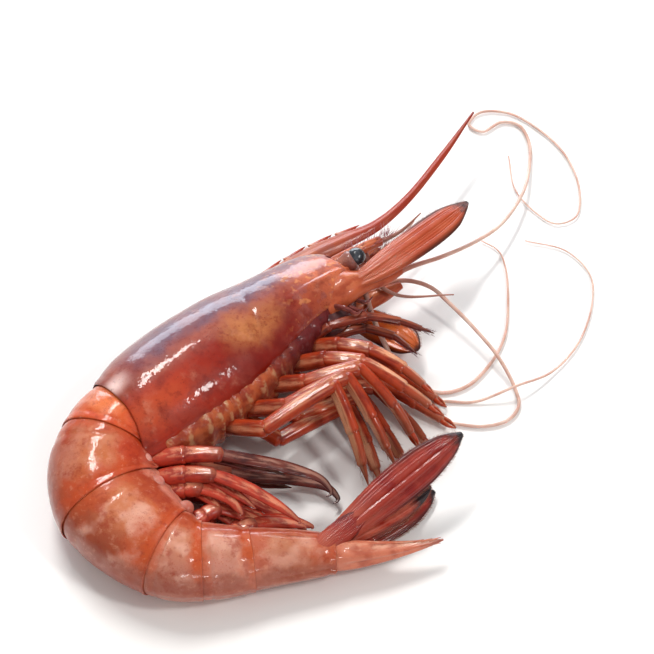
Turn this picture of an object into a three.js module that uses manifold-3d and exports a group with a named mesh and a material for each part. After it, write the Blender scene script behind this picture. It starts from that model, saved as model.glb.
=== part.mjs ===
// A raw deep-water rose shrimp, whole and in its shell, lying on its left side.
//
// Millimetres, +Z up, the surface that it lies on at z = 0. The head points to the far right, the
// back to the far left, and the tail is curled round in front, so that its fan points to the right.
// The animal's own plane of symmetry is level: its right side is up, its left side down.
//
// Every piece is a closed skin lofted over rings. Pieces are made from the body outwards, and each
// gives way to those made before it by CLEARANCE, so that no two of them touch.

import * as THREE from 'three';
import { mergeVertices } from 'three/addons/utils/BufferGeometryUtils.js';
import Module from 'manifold-3d';

const wasm = await Module();
wasm.setup();

// ---------------------------------------------------------------- driving dimensions

const CLEARANCE = 0.3; // between pieces that meet
const FOOTPRINT_CENTRE = { x: 0.93, y: 2.03 }; // the middle of the footprint, which becomes the origin

// The joint between head and tail, on the body's axis, and the way that the head points from it.
const JOINT = { x: -22.1, y: -12.0 };
const HEAD_HEADING = 39.5; // degrees from +X

const CARAPACE = { length: 33, top: 7.6, under: 7.7, halfWidth: 6.5 };
const EYE = { ahead: 34.5, up: 0.3, out: 2.7, radius: 1.45 };

// How far the body's mid plane is above the surface, by the distance along the body's axis
// behind the joint. Ahead of the joint that distance is negative.
const MID_PLANE = [[-62, 6.4], [-33, 5.7], [-9, 6.25], [0, 5.8], [4, 5.45], [12.6, 5.1],
  [21.8, 4.55], [26, 4.05], [31.6, 3.6], [41.6, 3.3], [56, 3.1]];

// The six rings of the tail, front to back: length along the axis, how far the ring turns towards
// the belly in degrees, and half the depth and half the width at its rear edge.
const TAIL_FRONT = { halfDepth: 5.8, halfWidth: 5.5 };
const TAIL = [
  { length: 3.8, turn: 27, halfDepth: 6.0, halfWidth: 5.6 },
  { length: 7.7, turn: 54, halfDepth: 6.9, halfWidth: 5.3 },
  { length: 9.0, turn: 28, halfDepth: 5.6, halfWidth: 4.75 },
  { length: 4.2, turn: 33, halfDepth: 4.6, halfWidth: 4.2 },
  { length: 5.7, turn: 7, halfDepth: 3.8, halfWidth: 3.6 },
  { length: 10.0, turn: -6, halfDepth: 2.2, halfWidth: 2.4 },
];
const TAIL_LENGTH = TAIL.reduce((sum, ring) => sum + ring.length, 0);
const TELSON = { length: 12.6, turn: 14 };

// How finely the solids are faceted.
const BODY_SIDES = 22;
const LIMB_SIDES = 6;
const BLADE_SIDES = 8;
const FEELER_SIDES = 5;
const SMALLEST_EDGE = 0.01;

// ---------------------------------------------------------------- numbers

const radians = THREE.MathUtils.degToRad;

/** Evenly spaced numbers from start to end, both included. */
function spread(start, end, steps) {
  return Array.from({ length: steps + 1 }, (_, index) => start + (end - start) * index / steps);
}

/** The points that a function gives for the cosine and sine of each step round a circle. */
function circle(sides, point) {
  return spread(0, 2 * Math.PI, sides).slice(0, sides)
    .map((angle) => point(Math.cos(angle), Math.sin(angle)));
}

/** Reads a table of [position, value, value ...] rows, with a smooth curve through its rows. */
function read(table, position) {
  const end = table.length - 1;
  if (position <= table[0][0]) return table[0].slice(1);
  if (position >= table[end][0]) return table[end].slice(1);
  const next = table.findIndex((row) => row[0] > position);
  const rows = [Math.max(next - 2, 0), next - 1, next, Math.min(next + 1, end)].map((i) => table[i]);
  const [before, from, to, after] = rows;
  const t = (position - from[0]) / (to[0] - from[0]);
  return from.slice(1).map((_, index) => {
    const column = index + 1;
    const slope = (a, b) => (b[column] - a[column]) / (b[0] - a[0]) * (to[0] - from[0]);
    return hermite(from[column], to[column], slope(before, to), slope(from, after), t);
  });
}

/** The cubic from a to b that leaves a and reaches b with the given slopes. */
function hermite(a, b, slopeA, slopeB, t) {
  const blend = t * t * (3 - 2 * t);
  return a + (b - a) * blend + t * (1 - t) * (slopeA * (1 - t) - slopeB * t);
}

// ---------------------------------------------------------------- solids

/** The closed solid over rings of equal point count, with a fan over each end. */
function loft(rings) {
  const sides = rings[0].length;
  const points = rings.flat();
  const triangles = [];
  for (let ring = 0; ring < rings.length - 1; ring++) {
    for (let side = 0; side < sides; side++) {
      const here = ring * sides + side;
      const beside = ring * sides + (side + 1) % sides;
      triangles.push([here, beside, beside + sides], [here, beside + sides, here + sides]);
    }
  }
  const fan = (start, turn) => {
    const middle = new THREE.Vector3();
    for (let side = 0; side < sides; side++) middle.addScaledVector(points[start + side], 1 / sides);
    points.push(middle);
    for (let side = 0; side < sides; side++) {
      const edge = [start + side, start + (side + 1) % sides];
      triangles.push([points.length - 1, edge[turn], edge[1 - turn]]);
    }
  };
  fan(0, 1);
  fan((rings.length - 1) * sides, 0);
  return solidOf(points, triangles);
}

/** The solid inside a closed skin, turned so that its faces point out. */
function solidOf(points, triangles) {
  let volume = 0;
  for (const [a, b, c] of triangles) volume += points[a].clone().cross(points[b]).dot(points[c]);
  const outward = volume > 0 ? triangles : triangles.map(([a, b, c]) => [a, c, b]);
  return new wasm.Manifold(new wasm.Mesh({
    numProp: 3,
    vertProperties: new Float32Array(points.flatMap((point) => point.toArray())),
    triVerts: new Uint32Array(outward.flat()),
  }));
}

/** The largest body of a solid that cutting may have left in several. */
function largest(solid) {
  return solid.decompose().sort((a, b) => b.volume() - a.volume())[0];
}

/** The solid inside one of three.js's closed geometries. */
function solidFrom(geometry) {
  geometry.deleteAttribute('normal');
  geometry.deleteAttribute('uv');
  const merged = mergeVertices(geometry);
  const { position } = merged.attributes;
  const points = spread(0, position.count - 1, position.count - 1)
    .map((index) => new THREE.Vector3().fromBufferAttribute(position, index));
  const corners = [...merged.index.array];
  const triangles = [];
  for (let i = 0; i < corners.length; i += 3) triangles.push(corners.slice(i, i + 3));
  return solidOf(points, triangles);
}

/**
 * A limb: a tapering solid along a smooth path. Form rows are [part of the length, half the width,
 * half the thickness], and the width lies as close to the direction flat as the path allows.
 */
function limb({ path, form, flat = [0, 0, 1], sides = LIMB_SIDES, steps = 12 }) {
  const curve = new THREE.CatmullRomCurve3(path.map((point) => new THREE.Vector3(...point)));
  const aim = new THREE.Vector3(...flat);
  return (grow) => loft(spread(0, 1, steps).map((t) => {
    const tangent = curve.getTangentAt(t);
    const width = aim.clone().addScaledVector(tangent, -aim.dot(tangent)).normalize();
    const thickness = tangent.clone().cross(width);
    const [halfWidth, halfThickness] = read(form, t);
    const overshoot = t === 0 ? -grow : (t === 1 ? grow : 0);
    return circle(sides, (cos, sin) => rested(curve.getPointAt(t)
      .addScaledVector(tangent, overshoot)
      .addScaledVector(width, (halfWidth + grow) * cos)
      .addScaledVector(thickness, (halfThickness + grow) * sin)));
  }));
}

/** A point that has sunk into the surface is pressed flat against it. */
function rested(point) {
  return point.setZ(Math.max(point.z, 0));
}

// ---------------------------------------------------------------- the body's axis

/**
 * The axis a distance behind the joint: its place, and its heading towards the tail. It follows the
 * bent tail, unless it is asked for the head's own straight line.
 */
function axisAt(behind, straight) {
  const place = { x: JOINT.x, y: JOINT.y, heading: radians(HEAD_HEADING + 180) };
  const follow = (length, turn) => {
    const step = place.heading + turn / 2;
    const chord = turn === 0 ? length : length * Math.sin(turn / 2) / (turn / 2);
    place.x += chord * Math.cos(step);
    place.y += chord * Math.sin(step);
    place.heading += turn;
  };
  if (straight || behind <= 0) {
    follow(behind, 0);
    return place;
  }
  let left = behind;
  for (const ring of [...TAIL, TELSON]) {
    const part = Math.min(left, ring.length);
    follow(part, radians(ring.turn) * part / ring.length);
    left -= part;
  }
  follow(left, 0);
  return place;
}

/** A point of the body: behind the joint, up from the axis to the back, and out to the right. */
function bodyPoint(behind, up, out, straight = false) {
  const { x, y, heading } = axisAt(behind, straight);
  const [height] = read(MID_PLANE, behind);
  return new THREE.Vector3(x + up * Math.sin(heading), y - up * Math.cos(heading), height + out);
}

/** The same point as a plain [x, y, z], for the paths of limbs that leave the body. */
function at(ahead, up, out) {
  return bodyPoint(-ahead, up, out).toArray();
}

const FLANK_FULLNESS = 0.85; // 1 would make a ring an ellipse; below 1 its flanks are fuller

/** A ring of the body's skin round the axis. A slant carries its lower side further back. */
function bodyRing({ behind, top, under, halfWidth, slant = 0, sides = BODY_SIDES, straight = false }) {
  return circle(sides, (cos, sin) => {
    const up = cos > 0 ? top * cos : under * cos;
    const out = halfWidth * Math.sign(sin) * Math.abs(sin) ** FLANK_FULLNESS;
    const lean = slant * Math.max(0, -cos) ** 2;
    return rested(bodyPoint(behind + lean, up, out, straight));
  });
}

// ---------------------------------------------------------------- head

// Rows: part of the length, then back, belly and flank as parts of the full sizes.
const CARAPACE_FORM = [
  [-0.03, 0.76, 0.86, 0.90], [0.02, 0.86, 0.93, 0.95], [0.10, 0.95, 0.98, 0.99],
  [0.25, 1.0, 1.0, 1.0], [0.40, 0.99, 0.96, 0.98], [0.52, 0.95, 0.87, 0.94],
  [0.64, 0.87, 0.72, 0.88], [0.77, 0.80, 0.56, 0.78], [0.89, 0.73, 0.46, 0.64],
  [0.96, 0.60, 0.38, 0.52], [1.0, 0.40, 0.26, 0.36],
];
const CARAPACE_REAR_SLANT = 1.6; // how far the lower rear corner reaches back past the upper
const CARAPACE_ALONG = [-0.03, 0, ...spread(0.05, 0.95, 15), 0.98, 1.0]; // where its rings are

function carapaceShell(grow) {
  const rings = CARAPACE_ALONG.map((along, index) => {
    const [top, under, flank] = read(CARAPACE_FORM, along);
    const end = index === 0 ? grow : (along === 1 ? -grow : 0);
    return bodyRing({
      behind: end - along * CARAPACE.length,
      top: CARAPACE.top * top + grow,
      under: CARAPACE.under * under + grow,
      halfWidth: CARAPACE.halfWidth * flank + grow,
      slant: CARAPACE_REAR_SLANT * Math.max(0, 1 - along * 6),
      straight: true,
    });
  });
  return loft(rings);
}

// Rows: ahead of the joint, upper edge and lower edge above the axis, half the thickness.
const ROSTRUM_FORM = [
  [22, 6.4, 3.0, 1.5], [26, 6.8, 3.4, 1.4], [32, 6.5, 3.6, 1.1], [36, 5.7, 3.3, 0.8],
  [40.6, 4.5, 2.95, 0.6], [46, 4.9, 3.75, 0.5], [53.5, 7.0, 6.05, 0.36], [60.7, 9.25, 8.95, 0.12],
];
const ROSTRUM_TEETH = [26, 29.5, 33, 36.5]; // ahead of the joint
const ROSTRUM_TOOTH = { length: 2.4, rise: 0.9, thickness: 0.3, sunk: 0.5 };

function rostrum(grow) {
  const rings = spread(ROSTRUM_FORM[0][0], ROSTRUM_FORM.at(-1)[0], 18).map((ahead) => {
    const [top, under, thickness] = read(ROSTRUM_FORM, ahead);
    const middle = (top + under) / 2;
    return circle(LIMB_SIDES, (cos, sin) => bodyPoint(
      -ahead, middle + ((top - under) / 2 + grow) * cos, (thickness + grow) * sin,
    ));
  });
  return loft(rings);
}

/** A flat forward-leaning tooth on the upper edge of the rostrum. */
function rostrumTooth(ahead, grow) {
  const { length, rise, thickness, sunk } = ROSTRUM_TOOTH;
  const path = [0, 0.5, 1].map((part) => {
    const [top] = read(ROSTRUM_FORM, ahead + length * part);
    return at(ahead + length * part, top + THREE.MathUtils.lerp(-sunk, rise, part), 0);
  });
  return limb({ path, form: [[0, thickness, 0.8], [1, 0.06, 0.08]], sides: 4, steps: 3 })(grow);
}

function carapace(grow) {
  const teeth = ROSTRUM_TEETH.map((ahead) => rostrumTooth(ahead, grow));
  return [rostrum(grow), ...teeth].reduce((whole, part) => whole.add(part), carapaceShell(grow));
}

const BREAST = { rear: 1.5, front: 27.5, below: 1.3, halfWidth: 3.4, ends: 0.6 };
const SOFT_SIDES = 12;

/** The breast between the legs, which shows as a strip under the edge of the carapace. */
function breast(grow) {
  const { rear, front, below, halfWidth, ends } = BREAST;
  const rings = [rear, rear + 1.5, ...spread(rear + 4.5, front - 2.5, 6), front];
  return loft(rings.map((ahead) => {
    const [, under] = read(CARAPACE_FORM, ahead / CARAPACE.length);
    const size = ahead === rear || ahead === front ? ends : 1;
    return bodyRing({
      behind: -ahead, top: 0, sides: SOFT_SIDES,
      under: (CARAPACE.under * under + below) * size + grow,
      halfWidth: halfWidth * size + grow,
    });
  }));
}

/** A ball, a little flattened from above. */
function eye({ side }) {
  const centre = bodyPoint(-EYE.ahead, EYE.up, side * EYE.out);
  return (grow) => {
    const ball = new THREE.SphereGeometry(EYE.radius + grow, 10, 7);
    ball.scale(1, 1, 0.9);
    ball.translate(centre.x, centre.y, centre.z);
    return solidFrom(ball);
  };
}

function eyestalk({ side }) {
  return limb({
    path: [at(31, 1.2, side * 1.0), at(33, 0.9, side * 1.6), at(EYE.ahead, EYE.up, side * EYE.out)],
    form: [[0, 0.9, 0.9], [1, 0.9, 0.9]],
    steps: 4,
  });
}

// Rows: ahead of the joint, how far below the axis, half the width.
const MOUTH_FORM = [[24.8, 4.8, 2.0], [26.3, 6.0, 2.8], [28.3, 6.1, 2.9], [30.3, 5.2, 2.4],
  [31.6, 3.8, 1.4]];

/** The dark clump of jaws and feelers' feet under the head, in front of the breast. */
function mouthparts(grow) {
  return loft(MOUTH_FORM.map(([ahead, under, halfWidth]) => bodyRing({
    behind: -ahead, top: 0, under: under + grow, halfWidth: halfWidth + grow, sides: SOFT_SIDES,
  })));
}

// ---------------------------------------------------------------- feelers

// The direction of the head's back, along which the limbs' widths lie.
const BACK = [-Math.sin(radians(HEAD_HEADING)), Math.cos(radians(HEAD_HEADING)), 0];

// The leaf that covers the foot of each feeler. The left one is splayed towards the belly.
const SCALES = {
  right: [at(31, -2.6, 2.7), at(36, -3.0, 3.3), at(44, -2.8, 3.2), at(50, -2.2, 2.7)],
  left: [at(30.6, -2.4, -2.4), at(32.3, -5.2, -3.1), at(33.6, -8.6, -3.1), at(34.2, -12, -2.8)],
};
const SPLAYED = [0.77, 0.6, 0.2]; // the direction of the left one's width
const SCALE_FORM = [[0, 0.7, 0.45], [0.25, 1.7, 0.5], [0.6, 2.1, 0.45], [0.82, 1.8, 0.35],
  [0.95, 0.8, 0.2], [1, 0.2, 0.1]];

function antennalScale({ name }) {
  const flat = name === 'left' ? SPLAYED : BACK;
  return limb({ path: SCALES[name], form: SCALE_FORM, flat, sides: BLADE_SIDES, steps: 9 });
}

// The long feelers, from the head down to the surface, on which they lie in loose loops.
const LYING = 0.4; // how high a feeler's middle is where it lies
const OVER = 1.7; // and where it passes over itself or another
const ANTENNAE = {
  right: [
    at(35, -3.7, 1.6), [10.9, 9.7, 7.0], [14.6, 11.9, 6.0], [18.8, 15.3, 4.4], [22.2, 19.1, 3.0],
    [24.9, 24.5, 1.9], [25.9, 29.3, 0.8], [26.0, 33.5, LYING], [24.8, 36.2, LYING],
    [22.7, 36.7, LYING], [20.2, 35.2, LYING], [18.6, 36.3, LYING], [20.0, 38.2, LYING],
    [23.6, 38.1, LYING], [27.7, 35.1, LYING], [30.5, 31.4, LYING], [32.0, 26.2, LYING],
    [31.4, 22.0, LYING], [28.9, 21.0, LYING], [26.5, 22.7, LYING], [24.1, 26.2, LYING],
    [23.4, 31.4, LYING],
  ],
  left: [
    at(33, -2.4, -1.5), [7.5, 9.0, 4.3], [10.5, 9.7, 4.2], [13.4, 8.9, 3.9], [15.6, 7.0, 3.3],
    [18.6, 3.9, 2.4], [21.4, 0.2, OVER], [23.3, -3.5, 0.6], [23.7, -5.9, LYING],
    [22.4, -7.9, LYING], [19.6, -8.8, LYING], [16.4, -8.5, LYING], [13.4, -7.7, LYING],
    [12.2, -6.3, LYING], [14.2, -5.3, LYING], [18.5, -5.3, LYING], [23.4, -3.9, OVER],
    [27.8, -1.1, 0.6], [31.2, 3.4, LYING], [33.0, 9.3, LYING], [32.8, 13.4, LYING],
    [30.0, 16.9, LYING], [25.1, 18.4, LYING],
  ],
};
const FEELER_FOOT = [[0, 1.0, 1.0], [0.6, 0.9, 0.9], [1, 0.5, 0.5]];
const FEELER_FORM = [[0, 0.42, 0.42], [0.1, 0.34, 0.34], [0.5, 0.27, 0.27], [1, 0.2, 0.2]];

function antenna({ name, side }) {
  const foot = limb({
    path: [at(30.5, -2.6, side * 1.5), at(33.5, -3.4, side * 1.6), at(36.5, -3.9, side * 1.6)],
    form: FEELER_FOOT, steps: 5,
  });
  const lash = limb({ path: ANTENNAE[name], form: FEELER_FORM, sides: FEELER_SIDES, steps: 60 });
  return (grow) => foot(grow).add(lash(grow));
}

// The small feelers. The right one ends in a straight dark lash and a short pale one, the left
// one in a lash that bends back under the head and lies in a wide loop.
const ANTENNULES = {
  right: [
    [at(38, 1.1, 1.1), at(42, 0.7, 0.9), at(45.6, 1.3, 0.7)],
    [at(36.5, 0.9, 0.9), [6.9, 8.3, 5.8], [9.5, 6.6, 5.5], [16.1, 6.7, 5.5]],
  ],
  left: [
    [at(38, 1.1, -1.1), at(42, 1.0, -1.1), at(45, 1.8, -0.9)],
    [
      at(34.5, 0.2, -1.2), [5.6, 7.2, 4.7], [6.3, 4.4, 4.6], [7.6, 1.4, 3.6], [10.5, -2.9, 1.2],
      [14.5, -4.0, LYING], [17.7, -3.0, LYING], [20.6, 0.4, LYING], [22.3, 4.3, LYING],
      [22.8, 9.3, LYING], [22.6, 14.4, LYING], [21.8, 16.9, LYING], [19.8, 18.4, LYING],
    ],
  ],
};
const LASH_STEPS = { right: [4, 8], left: [4, 28] };

function antennule({ name, side }) {
  const foot = limb({
    path: [at(32, 1.9, side * 1.2), at(35.5, 1.6, side * 1.2), at(39, 1.1, side * 1.1)],
    form: [[0, 0.9, 0.9], [1, 0.6, 0.6]], steps: 4,
  });
  const lashes = ANTENNULES[name].map((path, index) => limb({
    path, form: [[0, 0.36, 0.36], [1, 0.2, 0.2]], sides: FEELER_SIDES, steps: LASH_STEPS[name][index],
  }));
  return (grow) => lashes.reduce((whole, lash) => whole.add(lash(grow)), foot(grow));
}

// ---------------------------------------------------------------- legs

// The jaw legs, and behind them the right legs, from the body over the knee to the tip.
const JAW_LEGS = {
  right: [[-2.0, -1.1, 5.5], [1.2, 0.6, 7.6], [5.6, 2.2, 7.4], [9.6, 2.0, 6.6], [13.6, 1.0, 5.6]],
  left: [[-2.0, -0.6, 4.8], [1.8, 0.9, 5.2], [5.4, 2.0, 5.3], [8.8, 1.0, 5.0], [11.6, -1.2, 4.4]],
};
const LEGS = [
  [[-0.8, -0.9, 5.5], [2.4, -2.1, 7.6], [6.0, -3.1, 8.0], [9.9, -5.2, 7.2], [13.5, -8.1, 6.2]],
  [[-3.2, -3.5, 5.5], [0.8, -4.6, 8.4], [5.1, -5.5, 9.0], [9.9, -8.1, 7.6], [14.6, -11.1, 6.0]],
  [[-6.0, -6.4, 5.5], [-1.6, -7.9, 8.4], [4.7, -6.4, 9.2], [8.7, -10.4, 7.2], [11.8, -14.4, 4.0]],
  [[-8.7, -9.8, 5.5], [-3.9, -11.5, 8.6], [3.2, -7.8, 9.4], [6.1, -12.2, 7.2], [8.9, -16.8, 4.0]],
  [[-11.1, -12.2, 5.5], [-6.3, -14.6, 8.6], [1.6, -9.0, 9.6], [3.9, -13.8, 6.8], [5.7, -18.9, 3.4]],
];
const LEG_FORM = [[0, 0.95, 0.95], [0.3, 0.9, 0.85], [0.52, 0.75, 0.7], [0.75, 0.6, 0.5],
  [0.93, 0.42, 0.36], [1, 0.12, 0.12]];

// A left leg lies under its right one, a little towards the belly, its outer part on the surface.
const LEFT_LEG = { shift: [1.6, 1.9], heights: [4.6, 3.4, 2.4, 1.4, 0.6] };

/** The path of the right limb itself, or the one of the left limb that lies under it. */
function pathOn(name, path, { shift, heights }) {
  if (name === 'right') return path;
  return path.map(([x, y], index) => [x + shift[0], y + shift[1], heights[index]]);
}

function leg(path) {
  return limb({ path, form: LEG_FORM, flat: BACK, steps: 11 });
}

// ---------------------------------------------------------------- tail

// Rows: part of a ring's length, then its size and that of its belly as parts of the depth. Each
// ring starts small, under the one before it, and ends in a low lip.
const RING_FORM = [[-0.1, 0.84, 0.80], [0.02, 0.92, 0.86], [0.14, 0.985, 0.95], [0.35, 1.01, 1.03],
  [0.6, 1.01, 1.05], [0.82, 1.0, 1.0], [0.95, 1.01, 0.93], [1.0, 0.97, 0.86]];

function tailRing(index) {
  const behind = TAIL.slice(0, index).reduce((sum, ring) => sum + ring.length, 0);
  const front = index === 0 ? TAIL_FRONT : TAIL[index - 1];
  const rear = TAIL[index];
  return (grow) => loft(RING_FORM.map(([along, size, belly]) => {
    const depth = THREE.MathUtils.lerp(front.halfDepth, rear.halfDepth, Math.max(along, 0));
    const width = THREE.MathUtils.lerp(front.halfWidth, rear.halfWidth, Math.max(along, 0));
    return bodyRing({
      behind: behind + along * rear.length + (along === 1 ? grow : 0),
      top: depth * size + grow, under: depth * belly + grow, halfWidth: width * size + grow,
    });
  }));
}

// Rows: part of the length, half the depth, half the width.
const TELSON_FORM = [[0, 1.4, 1.6], [0.12, 1.6, 1.9], [0.5, 1.05, 1.25], [0.85, 0.42, 0.5],
  [1, 0.1, 0.12]];

function telson(grow) {
  return loft(TELSON_FORM.map(([along, depth, width]) => bodyRing({
    behind: TAIL_LENGTH + along * TELSON.length,
    top: depth + grow, under: depth + grow, halfWidth: width + grow, sides: 10,
  })));
}

// The leaves of the tail fan, folded together on the belly side of the telson: heading in the
// level plane, length, height of the tip, half the width, and how far its far edge is raised in
// degrees. The right ones lie on the left ones.
const FAN = [
  { name: 'uropod_exopod_right', out: 2.0, heading: 40, length: 19, tip: 8.2, halfWidth: 2.3, tilt: 35 },
  { name: 'uropod_endopod_right', out: 0.6, heading: 33, length: 13, tip: 4.9, halfWidth: 1.7, tilt: 15 },
  { name: 'uropod_endopod_left', out: -0.9, heading: 36, length: 12, tip: 2.7, halfWidth: 1.6, tilt: 5 },
  { name: 'uropod_exopod_left', out: -2.2, heading: 38, length: 14.5, tip: 1.0, halfWidth: 2.1, tilt: 3 },
];
const FAN_ROOT = { behind: 0.2, up: -1.2 }; // behind the last ring and above the axis
const LEAF_FORM = [[0, 0.42, 0.75], [0.15, 0.6, 0.6], [0.45, 0.97, 0.5], [0.7, 1.0, 0.42],
  [0.9, 0.6, 0.3], [1, 0.1, 0.12]];

function fanLeaf({ out, heading, length, tip, halfWidth, tilt }) {
  const root = bodyPoint(TAIL_LENGTH + FAN_ROOT.behind, FAN_ROOT.up, out);
  const [cos, sin] = [Math.cos(radians(heading)), Math.sin(radians(heading))];
  const [level, raised] = [Math.cos(radians(tilt)), Math.sin(radians(tilt))];
  return limb({
    path: [0, 0.35, 0.7, 1].map((part) => [
      root.x + cos * length * part, root.y + sin * length * part,
      root.z + (tip - root.z) * part,
    ]),
    form: LEAF_FORM.map(([part, width, thickness]) => [part, width * halfWidth, thickness]),
    flat: [-sin * level, cos * level, raised],
    sides: BLADE_SIDES, steps: 9,
  });
}

// The right swimming legs, one under each of the first five rings.
const SWIMMERETS = [
  [[-19.6, -17.9, 7.0], [-13.3, -18.0, 8.6], [-8.6, -18.5, 8.2], [-3.5, -18.8, 6.8], [0.2, -19.6, 5.6],
    [1.8, -21.2, 4.8]],
  [[-18.7, -20.2, 6.6], [-13.2, -20.4, 8.0], [-8.6, -21.9, 7.6], [-4.4, -24.2, 6.8], [-1.8, -26.0, 6.0]],
  [[-17.1, -21.6, 6.0], [-13.4, -21.8, 7.0], [-10.2, -22.9, 6.4], [-8.6, -24.8, 5.8]],
  [[-14.6, -25.6, 5.0], [-12.0, -23.6, 5.4], [-8.6, -23.8, 4.4], [-5.6, -25.0, 4.0]],
  [[-10.6, -26.8, 4.2], [-8.0, -25.0, 4.2], [-4.6, -24.6, 4.2], [-1.2, -25.3, 4.2]],
];
const SWIMMERET_FORM = [[0, 1.2, 0.9], [0.35, 1.1, 0.8], [0.55, 0.85, 0.5], [0.8, 0.6, 0.32],
  [1, 0.12, 0.1]];
const LEFT_SWIMMERET = { shift: [0.8, 1.4], heights: [3.6, 2.9, 2.4, 2.0, 1.6, 1.2] };

function swimmeret(path) {
  return limb({ path, form: SWIMMERET_FORM, flat: BACK, steps: 8 });
}

// ---------------------------------------------------------------- finishes

function finish(color, roughness) {
  return () => new THREE.MeshStandardMaterial({ color, roughness, metalness: 0 });
}

const FINISH = {
  head: finish(0x8f3a2c, 0.25),
  shell: finish(0xc06a4c, 0.25),
  leg: finish(0xb8482c, 0.3),
  leaf: finish(0xa5402c, 0.3),
  feeler: finish(0xc9806a, 0.4),
  flesh: finish(0x5a2c26, 0.4),
  eye: finish(0x14141c, 0.1),
};

// ---------------------------------------------------------------- the whole animal

const SIDES = [{ name: 'right', side: 1 }, { name: 'left', side: -1 }];

/** One entry for each side of the animal: [node name, function that makes the solid, finish]. */
function both(kind, make, material) {
  return SIDES.map((place) => [`${kind}_${place.name}`, make(place), material]);
}

const pieces = [
  ['carapace', carapace, FINISH.head],
  ...TAIL.map((_, index) => [`abdomen_segment_${index + 1}`, tailRing(index), FINISH.shell]),
  ['telson', telson, FINISH.shell],
  ...FAN.map((leaf) => [leaf.name, fanLeaf(leaf), FINISH.leaf]),
  ['breast', breast, FINISH.flesh],
  ['mouthparts', mouthparts, FINISH.flesh],
  ...both('eyestalk', eyestalk, FINISH.head),
  ...both('eye', eye, FINISH.eye),
  ...both('antennal_scale', antennalScale, FINISH.leaf),
  ...both('antennule', antennule, FINISH.feeler),
  ...both('antenna', antenna, FINISH.feeler),
  ...both('jaw_leg', ({ name }) => leg(JAW_LEGS[name]), FINISH.leg),
  ...LEGS.flatMap((path, index) => both(
    `leg_${index + 1}`, ({ name }) => leg(pathOn(name, path, LEFT_LEG)), FINISH.leg,
  )),
  ...SWIMMERETS.flatMap((path, index) => both(
    `swimmeret_${index + 1}`, ({ name }) => swimmeret(pathOn(name, path, LEFT_SWIMMERET)), FINISH.leg,
  )),
];

/** Whether two bounding boxes reach each other. */
function near(a, b) {
  return [0, 1, 2].every((axis) => a.min[axis] <= b.max[axis] && b.min[axis] <= a.max[axis]);
}

function meshOf(name, solid, material) {
  const { vertProperties, triVerts } = solid.getMesh();
  const geometry = new THREE.BufferGeometry();
  geometry.setAttribute('position', new THREE.BufferAttribute(vertProperties, 3));
  geometry.setIndex(new THREE.BufferAttribute(triVerts, 1));
  geometry.computeVertexNormals();
  const mesh = new THREE.Mesh(geometry, material);
  mesh.name = name;
  return mesh;
}

const shrimp = new THREE.Group();
shrimp.position.set(-FOOTPRINT_CENTRE.x, -FOOTPRINT_CENTRE.y, 0);
const made = [];
for (const [name, make, material] of pieces) {
  const whole = make(0);
  const box = whole.boundingBox();
  const inTheWay = made.filter((other) => near(box, other.boundingBox()));
  const clear = inTheWay.reduce((solid, other) => solid.subtract(other), whole);
  shrimp.add(meshOf(name, largest(clear.simplify(SMALLEST_EDGE)), material()));
  made.push(make(CLEARANCE));
}

export default shrimp;
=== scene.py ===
"""The finished look of a raw deep-water rose shrimp, whole and in its shell, on its left side.

Lengths are millimetres in the part's own frame until a mesh is made, where they become metres.
Places on the body are given as (distance behind the joint of head and tail, up towards the back,
out to the animal's right). Every piece carries three marks on its points, which the materials
read: along, from its front or root to its end, and the cosine and sine of the way round it.
"""

import math

import bmesh
import bpy
import numpy as np
from mathutils import Matrix, Vector


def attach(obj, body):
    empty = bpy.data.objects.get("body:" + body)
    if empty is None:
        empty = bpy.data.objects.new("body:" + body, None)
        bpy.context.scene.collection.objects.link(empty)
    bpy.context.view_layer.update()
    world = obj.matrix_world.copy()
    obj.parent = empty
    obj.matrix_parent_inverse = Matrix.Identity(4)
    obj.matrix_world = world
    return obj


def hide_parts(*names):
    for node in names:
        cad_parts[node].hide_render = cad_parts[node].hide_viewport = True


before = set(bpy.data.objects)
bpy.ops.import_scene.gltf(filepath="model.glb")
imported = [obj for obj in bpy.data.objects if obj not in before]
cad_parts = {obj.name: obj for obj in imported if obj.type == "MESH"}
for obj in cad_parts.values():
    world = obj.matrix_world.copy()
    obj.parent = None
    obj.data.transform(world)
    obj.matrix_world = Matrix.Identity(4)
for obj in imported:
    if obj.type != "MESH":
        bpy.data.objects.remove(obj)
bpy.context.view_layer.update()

# ------------ driving dimensions

MM = 0.001
FOOTPRINT_CENTRE = (0.93, 2.03)

JOINT = (-22.1, -12.0)
HEAD_HEADING = math.radians(39.5)
BACK = (-math.sin(HEAD_HEADING), math.cos(HEAD_HEADING), 0)  # the direction of the head's back

HEAD_LENGTH, HEAD_TOP, HEAD_UNDER, HEAD_HALF_WIDTH = 33, 7.6, 7.7, 6.5
EYE = {"ahead": 34.5, "up": 0.3, "out": 2.7, "radius": 1.131}

# How far the mid plane is above the surface, by the distance behind the joint.
MID_PLANE = [(-62, 6.4), (-33, 5.7), (-9, 6.25), (0, 5.8), (4, 5.45), (12.6, 5.1),
             (21.8, 4.55), (26, 4.05), (31.6, 3.6), (41.6, 3.3), (56, 3.1)]

# The rings of the tail: length, turn in degrees, half the depth and half the width at the rear.
TAIL_FRONT = (5.8, 5.5)
TAIL = [(3.8, 27, 6.0, 5.6), (7.7, 54, 6.9, 5.3), (9.0, 28, 5.6, 4.75),
        (4.2, 33, 4.6, 4.2), (5.7, 7, 3.8, 3.6), (10.0, -6, 2.2, 2.4)]
RING_STARTS = np.concatenate([[0], np.cumsum([ring[0] for ring in TAIL])])
TAIL_LENGTH = RING_STARTS[-1]
TELSON = (12.6, 14)  # length, turn

FLANK_FULLNESS = 0.85
SEED = 7

# ------------ numbers


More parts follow.
